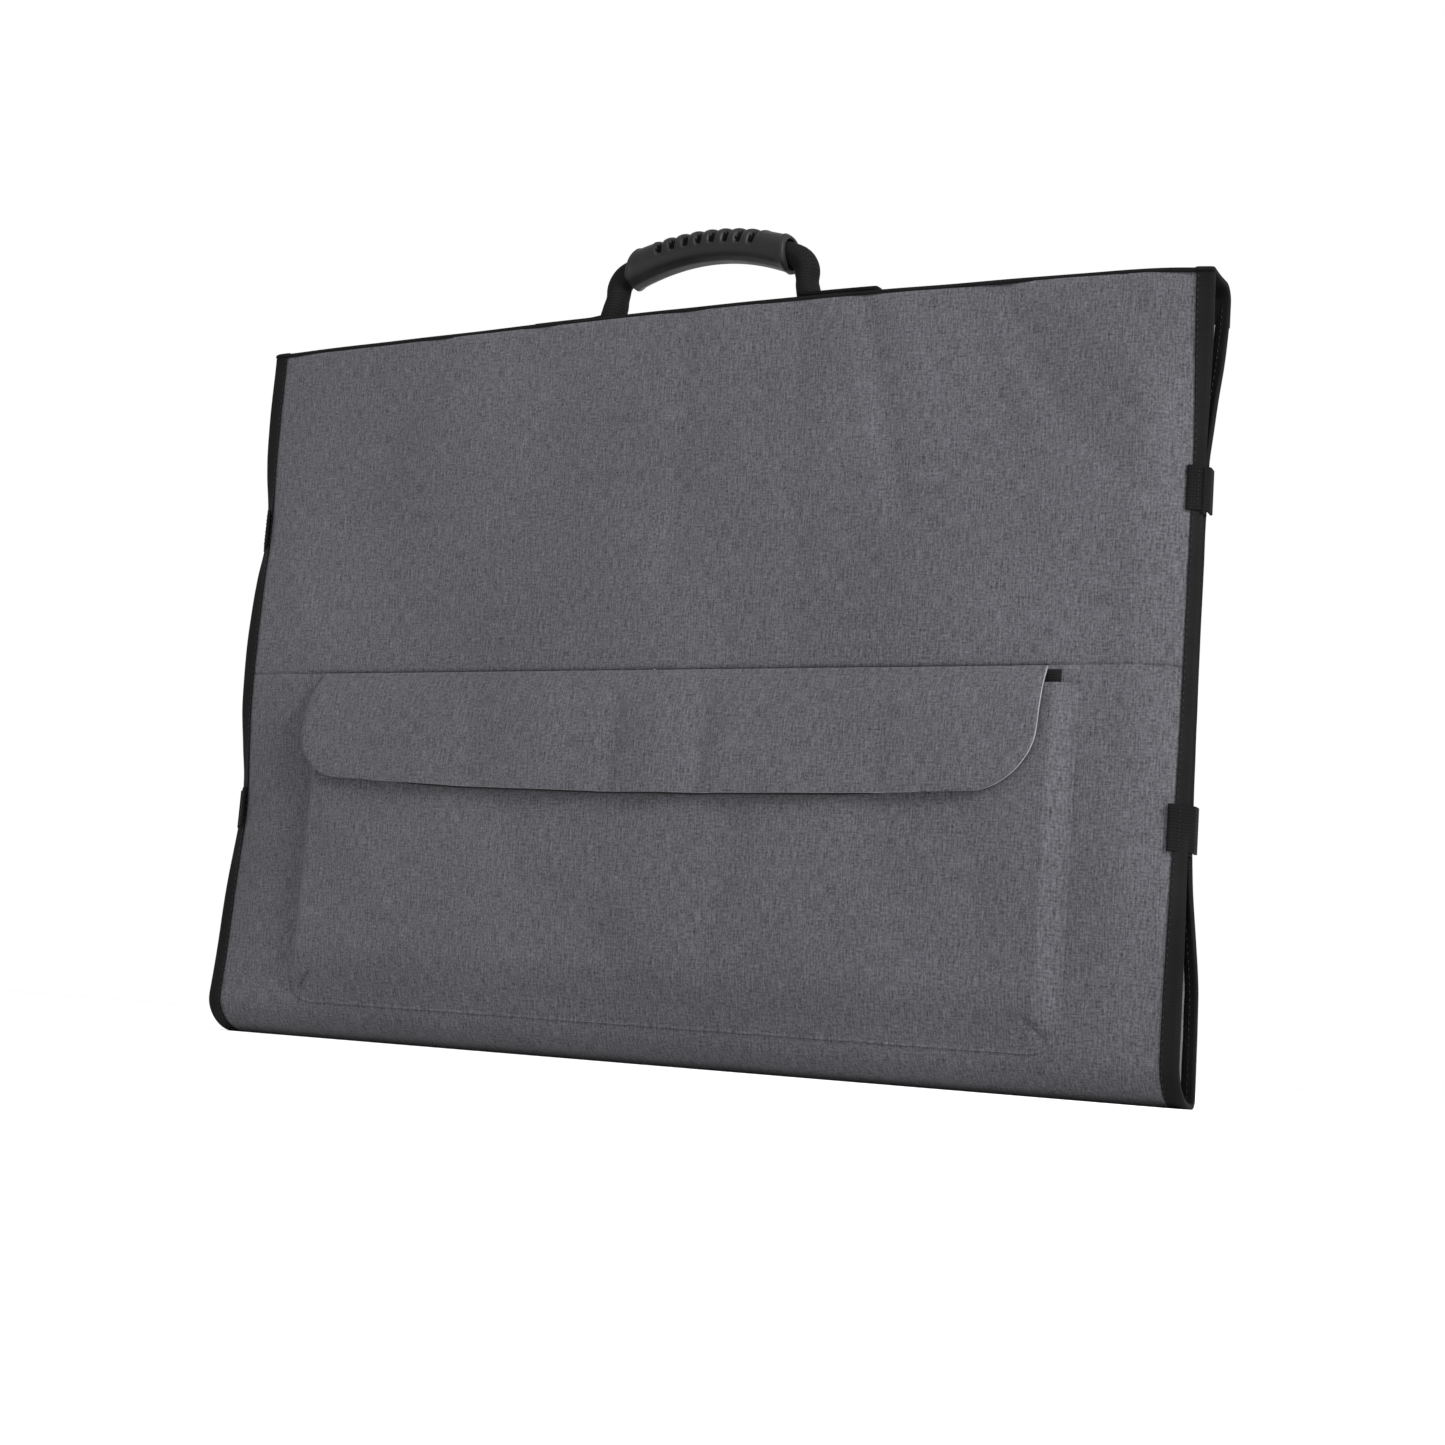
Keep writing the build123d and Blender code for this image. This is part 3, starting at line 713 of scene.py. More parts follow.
def pile_tape(name, colour, tuft, depth):
    """Brushed hook or loop tape: a field of tiny tufts."""
    material, tree, shader = shader_of(name, 0.95, 0.06, 0.08)
    place = wire(tree, "ShaderNodeTexCoord").outputs["Object"]
    tufts = wire(tree, "ShaderNodeTexVoronoi", Vector=place, Scale=tuft).outputs["Distance"]
    lie = yarn_pattern(tree, place, (240, 240), 4.0)
    tuft_tone = ranged(tree, tufts, 0.0, 0.8, 1.5, 0.6)
    tone = combine(tree, "MULTIPLY", tuft_tone, ranged(tree, lie, 0.3, 0.7, 0.75, 1.25))
    tree.links.new(tint(tree, colour, tone), shader.inputs["Base Color"])
    bump = wire(tree, "ShaderNodeBump", Strength=0.9, Distance=depth, Height=tufts)
    tree.links.new(bump.outputs["Normal"], shader.inputs["Normal"])
    return material


hook_tape = pile_tape("black_hook_tape", (0.010, 0.010, 0.0105), 900.0, 0.4 * mm)
loop_tape = pile_tape("black_loop_tape", (0.016, 0.016, 0.0165), 480.0, 0.6 * mm)

lip_material, tree, shader = shader_of("black_lip_cloth", 0.85, 0.15, 0.1)
place = wire(tree, "ShaderNodeTexCoord").outputs["Object"]
lip_weave = yarn_pattern(tree, place, (700, 700), 3.0)
lip_colour = tint(tree, (0.0075, 0.0075, 0.008), ranged(tree, lip_weave, 0.3, 0.7, 0.7, 1.4))
tree.links.new(lip_colour, shader.inputs["Base Color"])
bump = wire(tree, "ShaderNodeBump", Strength=0.5, Distance=0.3 * mm, Height=lip_weave)
tree.links.new(bump.outputs["Normal"], shader.inputs["Normal"])
for name, material in (
    ("closure_lip", lip_material), ("top_hook_tape", hook_tape), ("top_loop_tape", loop_tape),
):
    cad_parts[name].data.materials.clear()
    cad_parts[name].data.materials.append(material)


# ---- Keepers -------------------------------------------------------------------------------------
# Two pairs of black webbing tabs on each side hold the covers' edges together. The front tab comes
# round over the side and laps the back one. Each is sewn through its middle to its own cover's tape.
webbing_thickness = 1.5 * mm
keeper_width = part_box("keeper_front_right_lower")[1].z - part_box("keeper_front_right_lower")[0].z
webbing = ribbed_tape(
    "black_keeper_webbing", (0.0036, 0.0036, 0.0038), (turn_per_mm / 1.5, turn_per_mm / 1.7),
)


def chain_point(points, share):
    """The point at a share of the way along a smooth line through points."""
    place = share * (len(points) - 1)
    stations = [(n, *point) for n, point in enumerate(points)]
    return Vector([along(stations, place, column) for column in range(1, len(points[0]) + 1)])


def keeper_route(cover, side, height):
    """The tab's outer face seen from above: (x, y) points in from the tape, round and past its edge."""
    face_y, _, _, inward = cover_faces[cover]
    drawn, outer_x, outer_drawn = (along(side_edges[cover, side], height / mm, n) for n in (1, 2, 3))
    y = face_y / mm
    front = cover == "front"
    lap = 2.3 if front else 0.6
    seat = 2.5
    inner = (307.0 if side > 0 else 310.5) if front else 309.0
    reach = 9.5 if front else 7.5
    return [
        (side * inner, y + inward * (drawn - seat)),
        (side * (inner + 1.8), y + inward * (drawn - seat)),
        (side * ((outer_x + inner + 1.8) / 2), y + inward * ((drawn + outer_drawn) / 2 - seat)),
        (side * (outer_x - 0.6), y + inward * (outer_drawn - seat + 0.3)),
        (side * (outer_x + lap), y + inward * (outer_drawn + 1.2)),
        (side * (outer_x + lap + 0.3), y + inward * (outer_drawn + 4)),
        (side * (outer_x + lap), y + inward * (outer_drawn + reach)),
    ]


for level in ("lower", "upper"):
    for side, hand in ((-1, "left"), (1, "right")):
        for cover in ("front", "back"):
            low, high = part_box(f"keeper_{cover}_{hand}_{level}")
            shift = -1.5 * mm if cover == "back" else 0.0
            middle = (low.z + high.z) / 2 + shift
            route = keeper_route(cover, side, middle)
            route_length = sum((Vector(b) - Vector(a)).length for a, b in zip(route, route[1:])) * mm

            def keeper_point(u, v, route=route, route_length=route_length, middle=middle):
                flat = chain_point(route, u / route_length) * mm
                return Vector((flat.x, flat.y, middle + v))

            flip = (side > 0) != (cover == "front")
            keeper = cloth_sheet(
                f"keeper_{cover}_{hand}_{level}_webbing", (0, route_length),
                (-keeper_width / 2, keeper_width / 2), (0.9 * mm, 1.6 * mm), keeper_point, flip=flip,
            )
            thicken(keeper, webbing_thickness)
            rounding = keeper.modifiers.new("soft_edges", "BEVEL")
            rounding.width = 0.45 * mm
            rounding.segments = 2
            rounding.limit_method = "ANGLE"
            keeper.data.materials.append(webbing)
            column = 8.5 * mm
            row = [keeper_point(column, v) + Vector((0, (-1 if cover == "front" else 1) * 0.15 * mm, 0))
                   for v in row_between(-keeper_width / 2 + 2 * mm, keeper_width / 2 - 2 * mm, 2.6 * mm)]
            sew(keeper, [row], (0.28 * mm, 1.0 * mm))
            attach(keeper, f"{cover}_cover")
            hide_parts(f"keeper_{cover}_{hand}_{level}")


# ---- Front pocket --------------------------------------------------------------------------------
# One panel of the cover cloth is raised off the front by its own folded sides, with a dart in each lower
# corner. It is sewn down round three sides and hemmed along its open mouth, under which a black tape lies
# that makes the open mouth look dark.
pocket_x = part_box("pocket_gusset")[1].x
pocket_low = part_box("pocket_gusset")[0].z
pocket_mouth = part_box("pocket_face")[1].z + 2 * mm
pocket_rise = front_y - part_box("pocket_face")[0].y
pocket_corner = 18 * mm
pocket_slope = 11 * mm
pocket_foot_slope = 36 * mm
pocket_folds = [
    ([(-30, 75), (7, 38)], 12, -1.0), ([(-70, 123), (24, 67)], 16, 0.8), ([(56, 149), (44, 57)], 10, -1.0),
    ([(-143, 59), (-178, 101)], 10, -0.8), ([(-229, 138), (-151, 65)], 13, 0.9),
    ([(120, 150), (150, 60)], 16, 0.7), ([(200, 150), (215, 60)], 10, -0.5),
    ([(-100, 160), (-90, 110)], 12, -0.6),
]


def rounded_panel(x, length_up, half_width, low, radius):
    """The place of a panel's point in its outline, whose two lower corners are rounded. The rows of
    the flat panel follow the corners. Says also how far inside its side and its foot the point is."""
    turn = min(length_up / radius, quarter)
    z = low + radius * (1 - math.cos(turn)) + max(length_up - radius * quarter, 0)
    row_half_width = half_width - radius * (1 - math.sin(turn))
    x = x / half_width * row_half_width
    past_corner = max(abs(x) - half_width + radius, 0)
    foot_rise = radius - math.sqrt(max(radius**2 - past_corner**2, 0))
    return x, z, row_half_width - abs(x), z - low - foot_rise


def rounded_length(low, high, radius):
    """The flat length of such a panel, from its foot up."""
    return high - low - radius + radius * quarter


def lay_pattern(piece):
    """Gives a panel that hangs on the front its weave straight across and down, as it was cut."""
    for loop in piece.data.loops:
        place = piece.data.vertices[loop.vertex_index].co
        piece.data.uv_layers["cloth"].data[loop.index].uv = (place.x, place.z)


def cover_surface(x, z, behind=0.0):
    """The front cover's cloth at (x, z)."""
    return cover_point("front", x, z, behind, front_folds)


def pocket_point(x, length_up, out=0.0):
    """The pocket cloth: sewn flat at its edge, rising over its soft sides to its face."""
    x, z, from_side, from_foot = rounded_panel(x, length_up, pocket_x, pocket_low, pocket_corner)
    inside = min(from_side, from_foot)
    share = ease((from_side - 1.6 * mm) / pocket_slope)
    share *= ease((from_foot - 1.6 * mm) / pocket_foot_slope) ** 0.75
    share *= 1 - 0.72 * (1 - ease((pocket_mouth + 2 * mm - z) / (46 * mm)))
    rise = 0.7 * mm + (pocket_rise - 0.7 * mm) * share
    rise += relief(x, z, pocket_folds) * share + 0.7 * mm * share * noise.noise(Vector((x * 16, 2.2, z * 16)))
    rise += 0.5 * mm * math.exp(-(((from_side - pocket_slope - 1.2 * mm) / (1.6 * mm)) ** 2)) * share
    rise -= 0.45 * mm * math.exp(-(((inside - 1.8 * mm) / (1.1 * mm)) ** 2))
    from_corner = Vector((pocket_x - abs(x) - 9 * mm, z - pocket_low - 9 * mm))
    along_dart = (from_corner.x + from_corner.y) / math.sqrt(2)
    off_dart = (from_corner.x - from_corner.y) / math.sqrt(2)
    dart = math.exp(-((off_dart / (1.2 * mm)) ** 2)) * ease((along_dart + 3 * mm) / (3 * mm))
    dart *= 1 - ease((along_dart - 12 * mm) / (6 * mm))
    rise -= 2.6 * mm * dart
    rise += 0.5 * mm * share * ease((z - pocket_mouth + 9 * mm) / (1.2 * mm))
    base = cover_surface(x, z)
    return base + Vector((0, -rise - out, 0))


pocket_length = rounded_length(pocket_low, pocket_mouth, pocket_corner)
pocket = cloth_sheet(
    "pocket_cloth", (-pocket_x, pocket_x), (0, pocket_length), (2 * mm, 1.8 * mm), pocket_point
)
lay_pattern(pocket)
thicken(pocket, cloth_thickness)
pocket.data.materials.append(cover_cloth)
grey_thread, tree, shader = shader_of("grey_sewing_thread", 0.6, 0.1)
place = wire(tree, "ShaderNodeTexCoord").outputs["Object"]
thread_tone = ranged(tree, yarn_pattern(tree, place, (900, 900)), 0.3, 0.7, 0.7, 1.3)
tree.links.new(tint(tree, (0.075, 0.073, 0.082), thread_tone), shader.inputs["Base Color"])
side_row = [(pocket_x - 1.9 * mm, up) for up in row_between(30 * mm, pocket_length - 2 * mm)]
hem_row = [(x, pocket_length - 8 * mm) for x in row_between(-243 * mm, 243 * mm)]
sew(pocket, [[pocket_point(*place_on_panel) for place_on_panel in row] for row in (
    side_row, [(-x, up) for x, up in side_row], hem_row)], (0.22 * mm, 1.3 * mm), grey_thread)
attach(pocket, "front_cover")
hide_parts("pocket_face", "pocket_gusset", "pocket_hem")

# A thin black tape just under the seam, which makes the pocket's open mouth beside the flap's end look dark.
mouth_tape = cloth_sheet(
    "pocket_mouth_tape", (-236 * mm, 246 * mm), (219 * mm, 229.6 * mm), (4 * mm, 2 * mm),
    lambda x, z: cover_surface(x, z) + Vector((0, -0.35 * mm, 0)),
)
thicken(mouth_tape, 0.4 * mm)
mouth_tape.data.materials.append(edge_tape)
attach(mouth_tape, "front_cover")


# ---- Pocket flap ---------------------------------------------------------------------------------
# A flap of cover cloth hangs from the seam over the pocket's mouth, with rounded lower corners and its own
# black lining. Its rim is painted pale as a painted highlight where the cut edge catches the light, and the
# lining shows below its foot as a painted shadow line.
flap_low_x, flap_high_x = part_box("flap_outer")[0].x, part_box("flap_outer")[1].x
flap_half = (flap_high_x - flap_low_x) / 2
flap_middle = (flap_high_x + flap_low_x) / 2
flap_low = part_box("flap_outer")[0].z
flap_out = front_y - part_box("flap_outer")[0].y
flap_corner = 33 * mm
flap_root_z = seam_z - 0.2 * mm
# The flap's foot sags a little in its middle: (x, height), in millimetres.
flap_foot_line = [(-260, 165), (-200, 161.8), (-120, 158.6), (-30, 157), (70, 157.4)]
flap_foot_line += [(160, 159), (240, 161.5)]
flap_folds = [
    ([(-250, 215), (-253, 176)], 8, 0.7), ([(-196, 226), (-200, 170)], 12, -0.6),
    ([(-160, 226), (-160, 165)], 14, 0.8), ([(-128, 227), (-122, 160)], 11, -1.2),
    ([(-75, 226), (-72, 160)], 16, 0.9), ([(-28, 229), (-22, 157)], 8, -1.9),
    ([(3, 226), (8, 158)], 11, 1.1), ([(33, 228), (38, 157)], 8, -1.9), ([(90, 226), (92, 158)], 18, 0.8),
    ([(145, 225), (149, 166)], 6, -0.8), ([(190, 220), (198, 172)], 12, 0.6),
]


def flap_point(x, length_up, behind=0.0, inset=0.0):
    """The flap's face: out from the seam over the pocket's mouth, then down in soft folds. It leans a
    little to the left as it hangs, and stands away from the pocket along its foot."""
    x, z, from_side, from_foot = rounded_panel(
        x, length_up, flap_half - inset, flap_low + inset, flap_corner - inset)
    share_down = (flap_root_z - z) / (flap_root_z - flap_low)
    foot = along(flap_foot_line, (x + flap_middle) / mm) * mm
    z -= (flap_low - foot) * ease(share_down)
    down = flap_root_z - z
    out = 0.8 * mm + (flap_out + 0.5 * mm) * (1 - math.exp(-((max(down, 0) / (17 * mm)) ** 1.15)))
    hang = ease(down / (20 * mm))
    lift = ease((down - 30 * mm) / (45 * mm))
    out += relief(x + flap_middle, z, flap_folds) * ease((down - 6 * mm) / (22 * mm))
    out += 1.2 * mm * lift * ease(from_side / (30 * mm)) + 0.7 * mm * lift
    out += 0.5 * mm * hang * noise.noise(Vector((x * 14, 9.1, z * 14)))
    x += flap_middle + 3.5 * mm * (1 - hang) * (1 if x < 0 else 0) - 3.5 * mm * lift
    cloth_y = front_y + (cover_surface(x, z).y - front_y) * (1 - hang)
    return Vector((x, cloth_y - out + behind, z))


# The flap's rim gets this pale material: a painted highlight where the cut edge catches the light.
flap_edge_highlight, tree, shader = shader_of("pale_folded_edge", 0.85, 0.1)
place = wire(tree, "ShaderNodeTexCoord").outputs["Object"]
edge_highlight_tone = ranged(tree, yarn_pattern(tree, place, (700, 700)), 0.3, 0.7, 0.8, 1.2)
tree.links.new(tint(tree, (0.21, 0.21, 0.22), edge_highlight_tone), shader.inputs["Base Color"])

flap_length = rounded_length(flap_low, flap_root_z, flap_corner)
flap = cloth_sheet(
    "flap_cloth", (-flap_half, flap_half), (0, flap_length), (2.5 * mm, 1.6 * mm), flap_point
)
lay_pattern(flap)
flap.data.materials.append(cover_cloth)
# The rim (material slot 1) carries the painted highlight.
flap.data.materials.append(flap_edge_highlight)
thicken(flap, 1.5 * mm, rim_material=1)
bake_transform(flap)
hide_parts("flap_outer")

flap_inset = 3 * mm
shadow_line_drop = 1.1 * mm  # how far the black lining shows below the flap's foot: a painted shadow line


def flap_lining_point(x, length_up):
    """The lining lies inside the flap's edge. Along the foot it comes out a little below the flap, as a
    painted shadow line.
    """
    point = flap_point(x, length_up, 1.6 * mm, flap_inset)
    near_foot = ease(1 - length_up / (34 * mm)) * ease((flap_half - abs(x) - 26 * mm) / (60 * mm))
    point.z -= (flap_inset + shadow_line_drop) * near_foot
    return point


flap_lining = cloth_sheet(
    "flap_lining_cloth", (-flap_half + flap_inset, flap_half - flap_inset),
    (0, rounded_length(flap_low + flap_inset, flap_root_z - 4 * mm, flap_corner - flap_inset)),
    (4 * mm, 2.5 * mm), flap_lining_point,
)
lay_pattern(flap_lining)
thicken(flap_lining, 0.6 * mm)
# The lining is black, and its strip below the flap's foot is a painted shadow line.
flap_lining.data.materials.append(lip_material)
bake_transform(flap_lining)
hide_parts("flap_lining")


# ---- Flap's hook and loop tabs -------------------------------------------------------------------
# Two hook tabs are sewn inside the flap and two loop tabs on the pocket's face. They are brushed
# tape, and lie flat on the cloth that they are sewn to.
tab_low, tab_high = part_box("pocket_loop_tabs")
tab_height = tab_high.z - tab_low.z
tab_length_up = (tab_low.z + tab_high.z) / 2 - pocket_low - pocket_corner + pocket_corner * quarter
flap_tab_up = (tab_low.z + tab_high.z) / 2 - flap_low - flap_corner + flap_corner * quarter
for hand, middle in (("left", -150 * mm), ("right", 150 * mm)):
    loop_tab = cloth_sheet(
        f"pocket_loop_tab_{hand}", (middle - 30 * mm, middle + 30 * mm),
        (tab_length_up - tab_height / 2, tab_length_up + tab_height / 2), (4 * mm, 2.5 * mm),
        lambda x, up: pocket_point(x, up, 0.9 * mm),
    )
    thicken(loop_tab, 0.8 * mm)
    loop_tab.data.materials.append(loop_tape)
    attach(loop_tab, "front_cover")
    hook_tab = cloth_sheet(
        f"flap_hook_tab_{hand}", (middle - flap_middle - 30 * mm, middle - flap_middle + 30 * mm),
        (flap_tab_up - tab_height / 2, flap_tab_up + tab_height / 2), (4 * mm, 2.5 * mm),
        lambda x, up: flap_point(x, up, 2.3 * mm),
    )
    thicken(hook_tab, 0.8 * mm)
    hook_tab.data.materials.append(hook_tape)
    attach(hook_tab, "pocket_flap")
    if hand == "right":
        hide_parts("pocket_loop_tabs")
        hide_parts("flap_hook_tabs")


# ---- Handle webbing and end tabs -----------------------------------------------------------------
# One length of black webbing is rolled into a round cord through the grip. It comes down through
# the strip on both sides, and its ends are folded outwards and sewn flat on the strip.
handle_y = (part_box("handle_webbing")[0].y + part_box("handle_webbing")[1].y) / 2
cord_radius = 7.6 * mm
leg_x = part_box("handle_webbing")[1].x - cord_radius
leg_lean = 3.8 * mm  # how far the legs come in from their feet to the bend
grip_low, grip_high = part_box("handle_grip")
grip_end_x = 58 * mm
grip_end_z = 488 * mm
grip_rise = 11.7 * mm
arc_radius = (grip_end_x**2 + grip_rise**2) / (2 * grip_rise)
arc_slope = math.asin(grip_end_x / arc_radius)
arc_centre_z = grip_end_z + grip_rise - arc_radius
bend_radius = (leg_x - leg_lean - grip_end_x) / (1 - math.sin(arc_slope))
bend_low = grip_end_z - bend_radius * math.cos(arc_slope)
leg_foot = 451 * mm
handle_marks = [bend_low - leg_foot]
handle_marks.append(handle_marks[0] + bend_radius * (quarter - arc_slope))
handle_half = handle_marks[1] + arc_radius * arc_slope


def handle_line(length_along):
    """The cord's middle at a length from the handle's top, right side positive, and its direction."""
    side = 1 if length_along >= 0 else -1
    from_foot = handle_half - abs(length_along)
    if from_foot <= handle_marks[0]:
        x = leg_x - leg_lean * ease(from_foot / handle_marks[0])
        return Vector((side * x, handle_y, leg_foot + from_foot)), Vector((0, 0, -side))
    if from_foot <= handle_marks[1]:
        turn = (from_foot - handle_marks[0]) / bend_radius
        x = leg_x - leg_lean - bend_radius + bend_radius * math.cos(turn)
        z = bend_low + bend_radius * math.sin(turn)
        return Vector((side * x, handle_y, z)), Vector((math.sin(turn), 0, -side * math.cos(turn)))
    turn = abs(length_along) / arc_radius
    point = Vector((side * arc_radius * math.sin(turn), handle_y, arc_centre_z + arc_radius * math.cos(turn)))
    return point, Vector((math.cos(turn), 0, -side * math.sin(turn)))


def cord_point(turn, length_along):
    """A point of the rolled webbing: turn 0 faces the front, and a quarter is outwards or up."""
    middle, run = handle_line(length_along)
    up = run.cross(Vector((0, 1, 0)))
    from_foot = handle_half - abs(length_along)
    flatness = 1 - ease((from_foot - 4 * mm) / (26 * mm))
    crease = math.exp(-(((from_foot - 21 * mm) / (3 * mm)) ** 2))
    roll = 0.5 * mm * abs(math.sin(1.5 * turn))
    roll += 0.35 * mm * noise.noise(Vector((math.cos(turn), math.sin(turn), length_along * 60)))
    radius_across = cord_radius * (1 - 0.1 * flatness) - 0.9 * mm * crease - roll * 0.6
    radius_depth = cord_radius * (1 + 0.35 * flatness) + 0.3 * mm * crease - roll
    across = math.copysign(abs(math.sin(turn)) ** 0.85, math.sin(turn))
    depth = math.copysign(abs(math.cos(turn)) ** 0.85, math.cos(turn))
    slim = 1 - 0.3 * ease((46 * mm - abs(length_along)) / (8 * mm))
    return middle + up * radius_across * across * slim + Vector((0, -1, 0)) * radius_depth * depth * slim


cord = cloth_sheet(
    "handle_cord", (0, 2 * math.pi), (-handle_half, handle_half), (2 * math.pi / 28, 2 * mm), cord_point,
    closed=True,
)
for loop in cord.data.uv_layers["cloth"].data:
    loop.uv.x *= cord_radius
cord_webbing = ribbed_tape(
    "black_handle_webbing", (0.005, 0.005, 0.0052), (turn_per_mm / 1.6, turn_per_mm / 1.9),
)
cord.data.materials.append(cord_webbing)
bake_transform(cord)
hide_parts("handle_webbing")

tab_half_width = 12.5 * mm
for side, hand in ((-1, "left"), (1, "right")):
    low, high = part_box(f"handle_tab_{hand}")
    inner = min(abs(low.x), abs(high.x)) + 4.5 * mm
    outer = max(abs(low.x), abs(high.x))
    tab_height = 5 * mm if side > 0 else 3 * mm

    def tab_point(x, y, side=side, inner=inner, outer=outer, tab_height=tab_height):
        chamfer = 1 - ease((outer - x) / (3.5 * mm))
        rise = tab_height * (1 - 0.75 * chamfer)
        rise += 1.0 * mm * ease(1 - (x - inner) / (12 * mm))
        rise -= 0.6 * mm * (abs(y) / tab_half_width) ** 4
        return Vector((side * x, handle_y + y, top_at(side * x) + rise))

    tab = cloth_sheet(
        f"handle_tab_{hand}_webbing", (inner, outer), (-tab_half_width, tab_half_width),
        (1.5 * mm, 1.5 * mm), tab_point, flip=side < 0,
    )
    thicken(tab, 3 * mm)
    tab.data.materials.append(webbing)
    a, b, c = inner + 14 * mm, outer - 6 * mm, tab_half_width - 2.5 * mm
    box_seam = [[(a, -c), (b, -c)], [(b, -c), (b, c)], [(b, c), (a, c)], [(a, c), (a, -c)],
                [(a, -c), (b, c)], [(a, c), (b, -c)]]
    rows = []
    for start, end in box_seam:
        start, end = Vector(start), Vector(end)
        count = round((end - start).length / (3 * mm))
        rows.append([tab_point(*start.lerp(end, n / count)) for n in range(count + 1)])
    sew(tab, rows, (0.22 * mm, 1.2 * mm))
    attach(tab, "back_cover")
    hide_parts(f"handle_tab_{hand}")


# ---- Grip ----------------------------------------------------------------------------------------
# A sleeve of black moulded rubber over the rolled webbing, with eight finger grooves across its top
# and a rounded lip round both open ends and along its underside.
grip_half_depth = (grip_high.y - grip_low.y) / 2
grip_half_height = 10.5 * mm
grip_half_length = arc_radius * arc_slope - 5 * mm
grip_leans = {-1: 0.65, 1: 0.35}  # how far the two end faces lean inwards at the top
groove_count = 8
groove_pitch = 9.1 * mm
groove_half_width = 1.9 * mm
groove_depth = 3.4 * mm
bore = 8.5 * mm
lip_radius = 1.5 * mm
sleeve_marks = [2 * grip_half_length]
for stretch in (3.5 * mm, 2 * grip_half_length, 3.5 * mm):
    sleeve_marks.append(sleeve_marks[-1] + stretch)


def groove_share(turn, length_along):
    """How much of a groove's depth is cut at a place on the sleeve, and how far across the groove it is."""
    sine, cosine = math.sin(turn), math.cos(turn)
    groove_place = (length_along - 1.8 * mm + 2.5 * mm * cosine) / groove_pitch + (groove_count - 1) / 2
    nearest = round(groove_place)
    if not 0 <= nearest < groove_count:
        return 0.0, 1.0, 0.0
    off = abs(groove_place - nearest) * groove_pitch
    reach = ease((sine + 0.22) / 0.4)
    return ease((groove_half_width + 0.9 * mm - off) / (1.8 * mm)) * reach, off / groove_pitch * 2, reach


def grip_outside(turn, length_along):
    """How far out the sleeve's surface lies, across and up: turn 0 faces the front, a quarter is up."""
    share = abs(length_along) / grip_half_length
    waist = 1 - 0.06 * (1 - share**2)
    sine, cosine = math.sin(turn), math.cos(turn)
    out = grip_half_depth * waist * math.copysign(abs(cosine) ** 0.88, cosine)
    up = grip_half_height * waist * math.copysign(abs(sine) ** 0.88, sine)
    cut, off, reach = groove_share(turn, length_along)
    scale = 1 - groove_depth * cut / math.hypot(out, up)
    out, up = out * scale, up * scale - 0.5 * mm * math.cos(math.pi * min(off, 1)) * reach
    lip = math.exp(-(((sine + 0.98) / 0.03) ** 2)) * 0.4 * mm
    end_lip = math.exp(-(((grip_half_length - abs(length_along) - 1.2 * mm) / (1.4 * mm)) ** 2)) * 0.6 * mm
    swell = 1 + (lip + end_lip) / math.hypot(out, up)
    return out * swell, up * swell


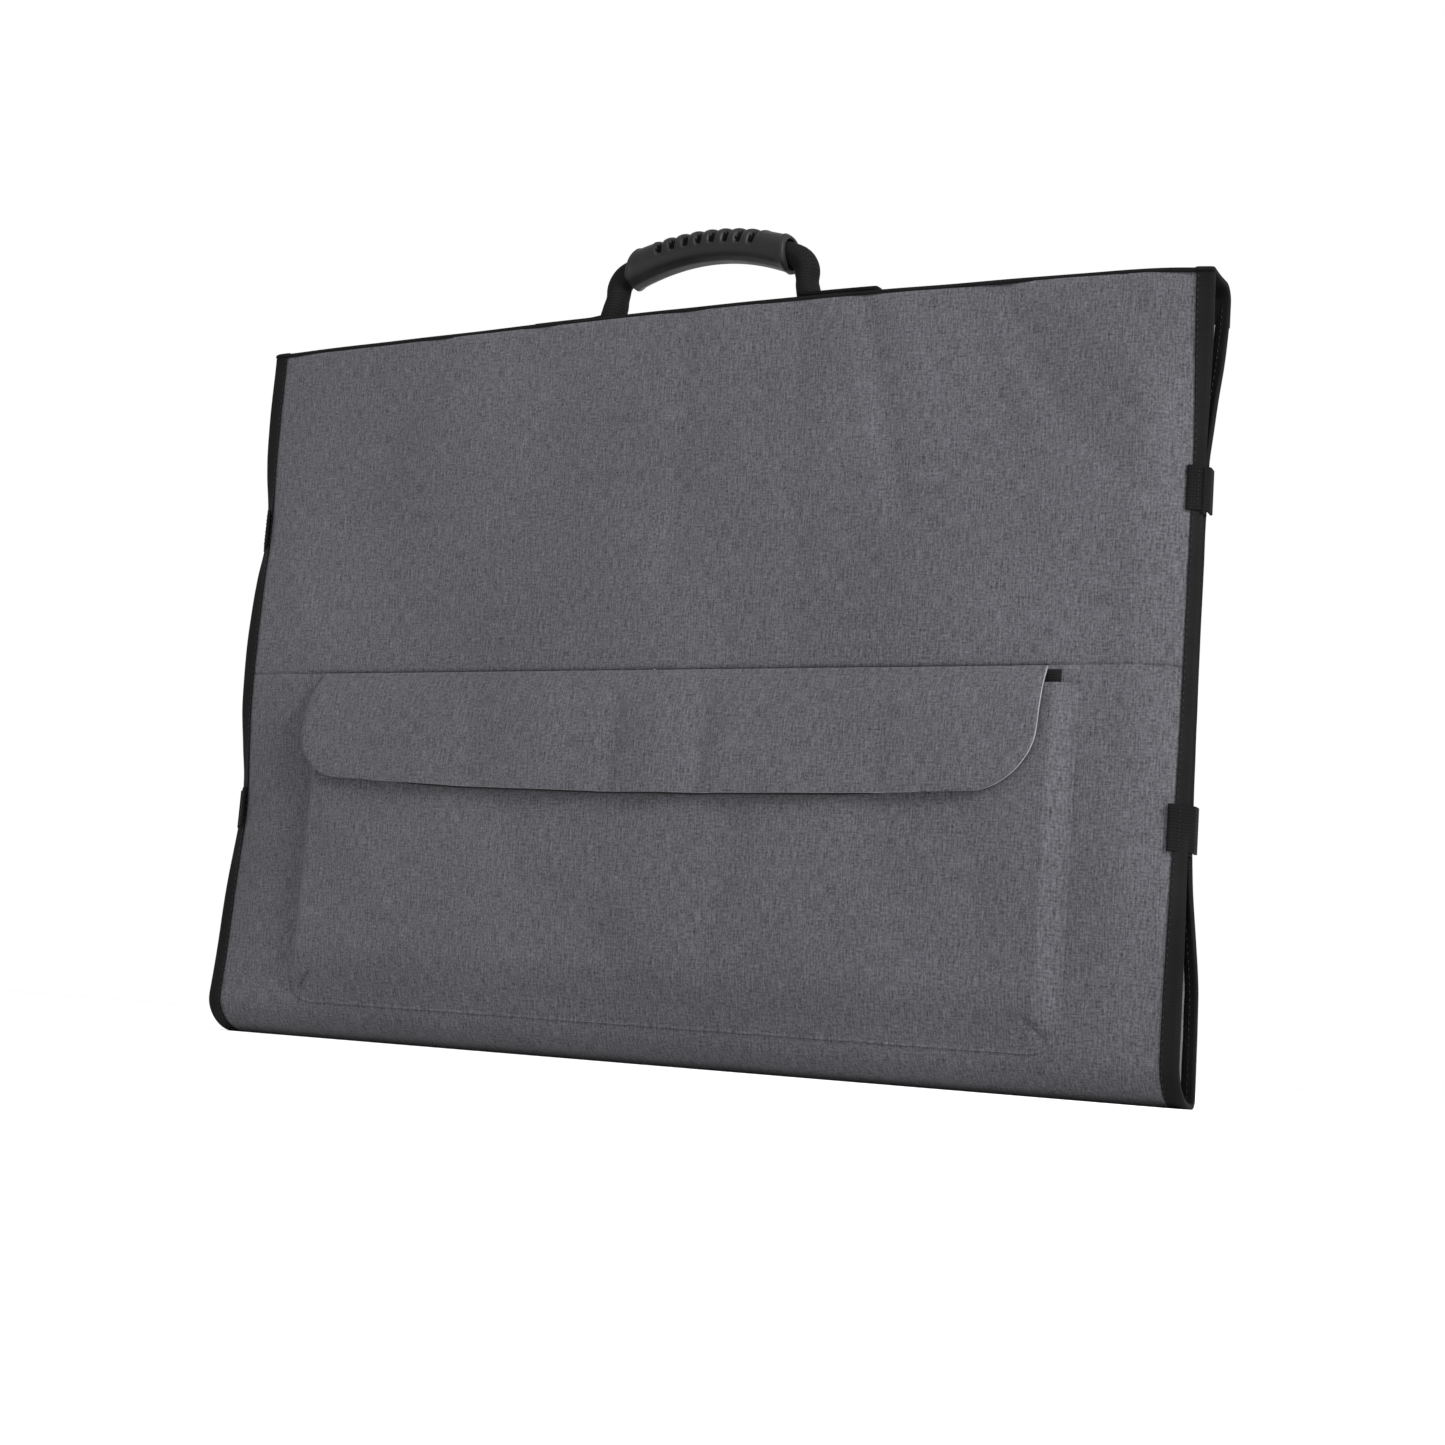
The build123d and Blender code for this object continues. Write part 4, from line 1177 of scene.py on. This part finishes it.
def sleeve_point(turn, length_round):
    """A point of the sleeve's wall, out along its face, over the lip, back through the bore."""
    limit = grip_half_length
    if length_round <= sleeve_marks[0]:
        length_along, inner = length_round - limit, 0.0
    elif length_round <= sleeve_marks[1]:
        share = (length_round - sleeve_marks[0]) / (sleeve_marks[1] - sleeve_marks[0])
        length_along, inner = limit + lip_radius * math.sin(math.pi * share), ease(share)
    elif length_round <= sleeve_marks[2]:
        length_along, inner = limit - (length_round - sleeve_marks[1]), 1.0
    else:
        share = (length_round - sleeve_marks[2]) / (sleeve_marks[3] - sleeve_marks[2])
        length_along, inner = -limit - lip_radius * math.sin(math.pi * share), 1 - ease(share)
    out, up = grip_outside(turn, max(-limit, min(limit, length_along)))
    reach = math.hypot(out, up)
    narrow = ease((limit - abs(length_along) - 4 * mm) / (8 * mm)) * inner
    scale = 1 + ((bore - 2.8 * mm * narrow) / reach - 1) * inner
    side = 1 if length_along > 0 else -1
    slant = grip_leans[side] * up
    ends = ease((abs(length_along) - limit + 12 * mm) / (12 * mm))
    middle, run = handle_line(length_along - side * slant * ends)
    upwards = run.cross(Vector((0, 1, 0)))
    return middle + upwards * up * scale + Vector((0, -1, 0)) * out * scale


grip_mesh_piece = cloth_sheet(
    "handle_grip_sleeve", (0, 2 * math.pi), (0, sleeve_marks[3]), (2 * math.pi / 64, 0.62 * mm), sleeve_point,
    closed=True,
)
grip_rubber, tree, shader = shader_of("black_moulded_rubber", 0.38, 0.17)
place = wire(tree, "ShaderNodeTexCoord").outputs["Object"]
grain = yarn_pattern(tree, place, (1400, 1400), 3.0)
bloom = yarn_pattern(tree, place, (60, 60), 3.0)
grain_tone = ranged(tree, grain, 0.3, 0.7, 0.92, 1.08)
grip_tone = combine(tree, "MULTIPLY", grain_tone, ranged(tree, bloom, 0.3, 0.7, 0.85, 1.25))
tree.links.new(tint(tree, (0.0068, 0.0068, 0.007), grip_tone), shader.inputs["Base Color"])
tree.links.new(ranged(tree, bloom, 0.3, 0.7, 0.36, 0.52), shader.inputs["Roughness"])
bump = wire(tree, "ShaderNodeBump", Strength=0.25, Distance=0.12 * mm, Height=grain)
tree.links.new(bump.outputs["Normal"], shader.inputs["Normal"])
grip_mesh_piece.data.materials.append(grip_rubber)
# The faces deep in the finger grooves get a near-black material: painted shade in the grooves.
groove_painted_shade, tree, shader = shader_of("painted_shade_in_grooves", 0.7, 0.03)
place = wire(tree, "ShaderNodeTexCoord").outputs["Object"]
painted_groove_tone = ranged(tree, yarn_pattern(tree, place, (900, 900)), 0.3, 0.7, 0.7, 1.3)
tree.links.new(tint(tree, (0.0022, 0.0022, 0.0022), painted_groove_tone), shader.inputs["Base Color"])
grip_mesh_piece.data.materials.append(groove_painted_shade)
# Faces well inside a groove take the painted shade material.
flat_places = grip_mesh_piece.data.uv_layers["cloth"].data
for face in grip_mesh_piece.data.polygons:
    middle = sum((flat_places[n].uv for n in face.loop_indices), Vector((0, 0))) / len(face.loop_indices)
    on_outside = middle.y < sleeve_marks[0]
    face.material_index = int(on_outside and groove_share(middle.x, middle.y - grip_half_length)[0] > 0.45)
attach(grip_mesh_piece, "handle")
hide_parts("handle_grip")


# ---- Finish --------------------------------------------------------------------------------------
# Nothing more is made here: the model's bounds are computed.
low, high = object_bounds()
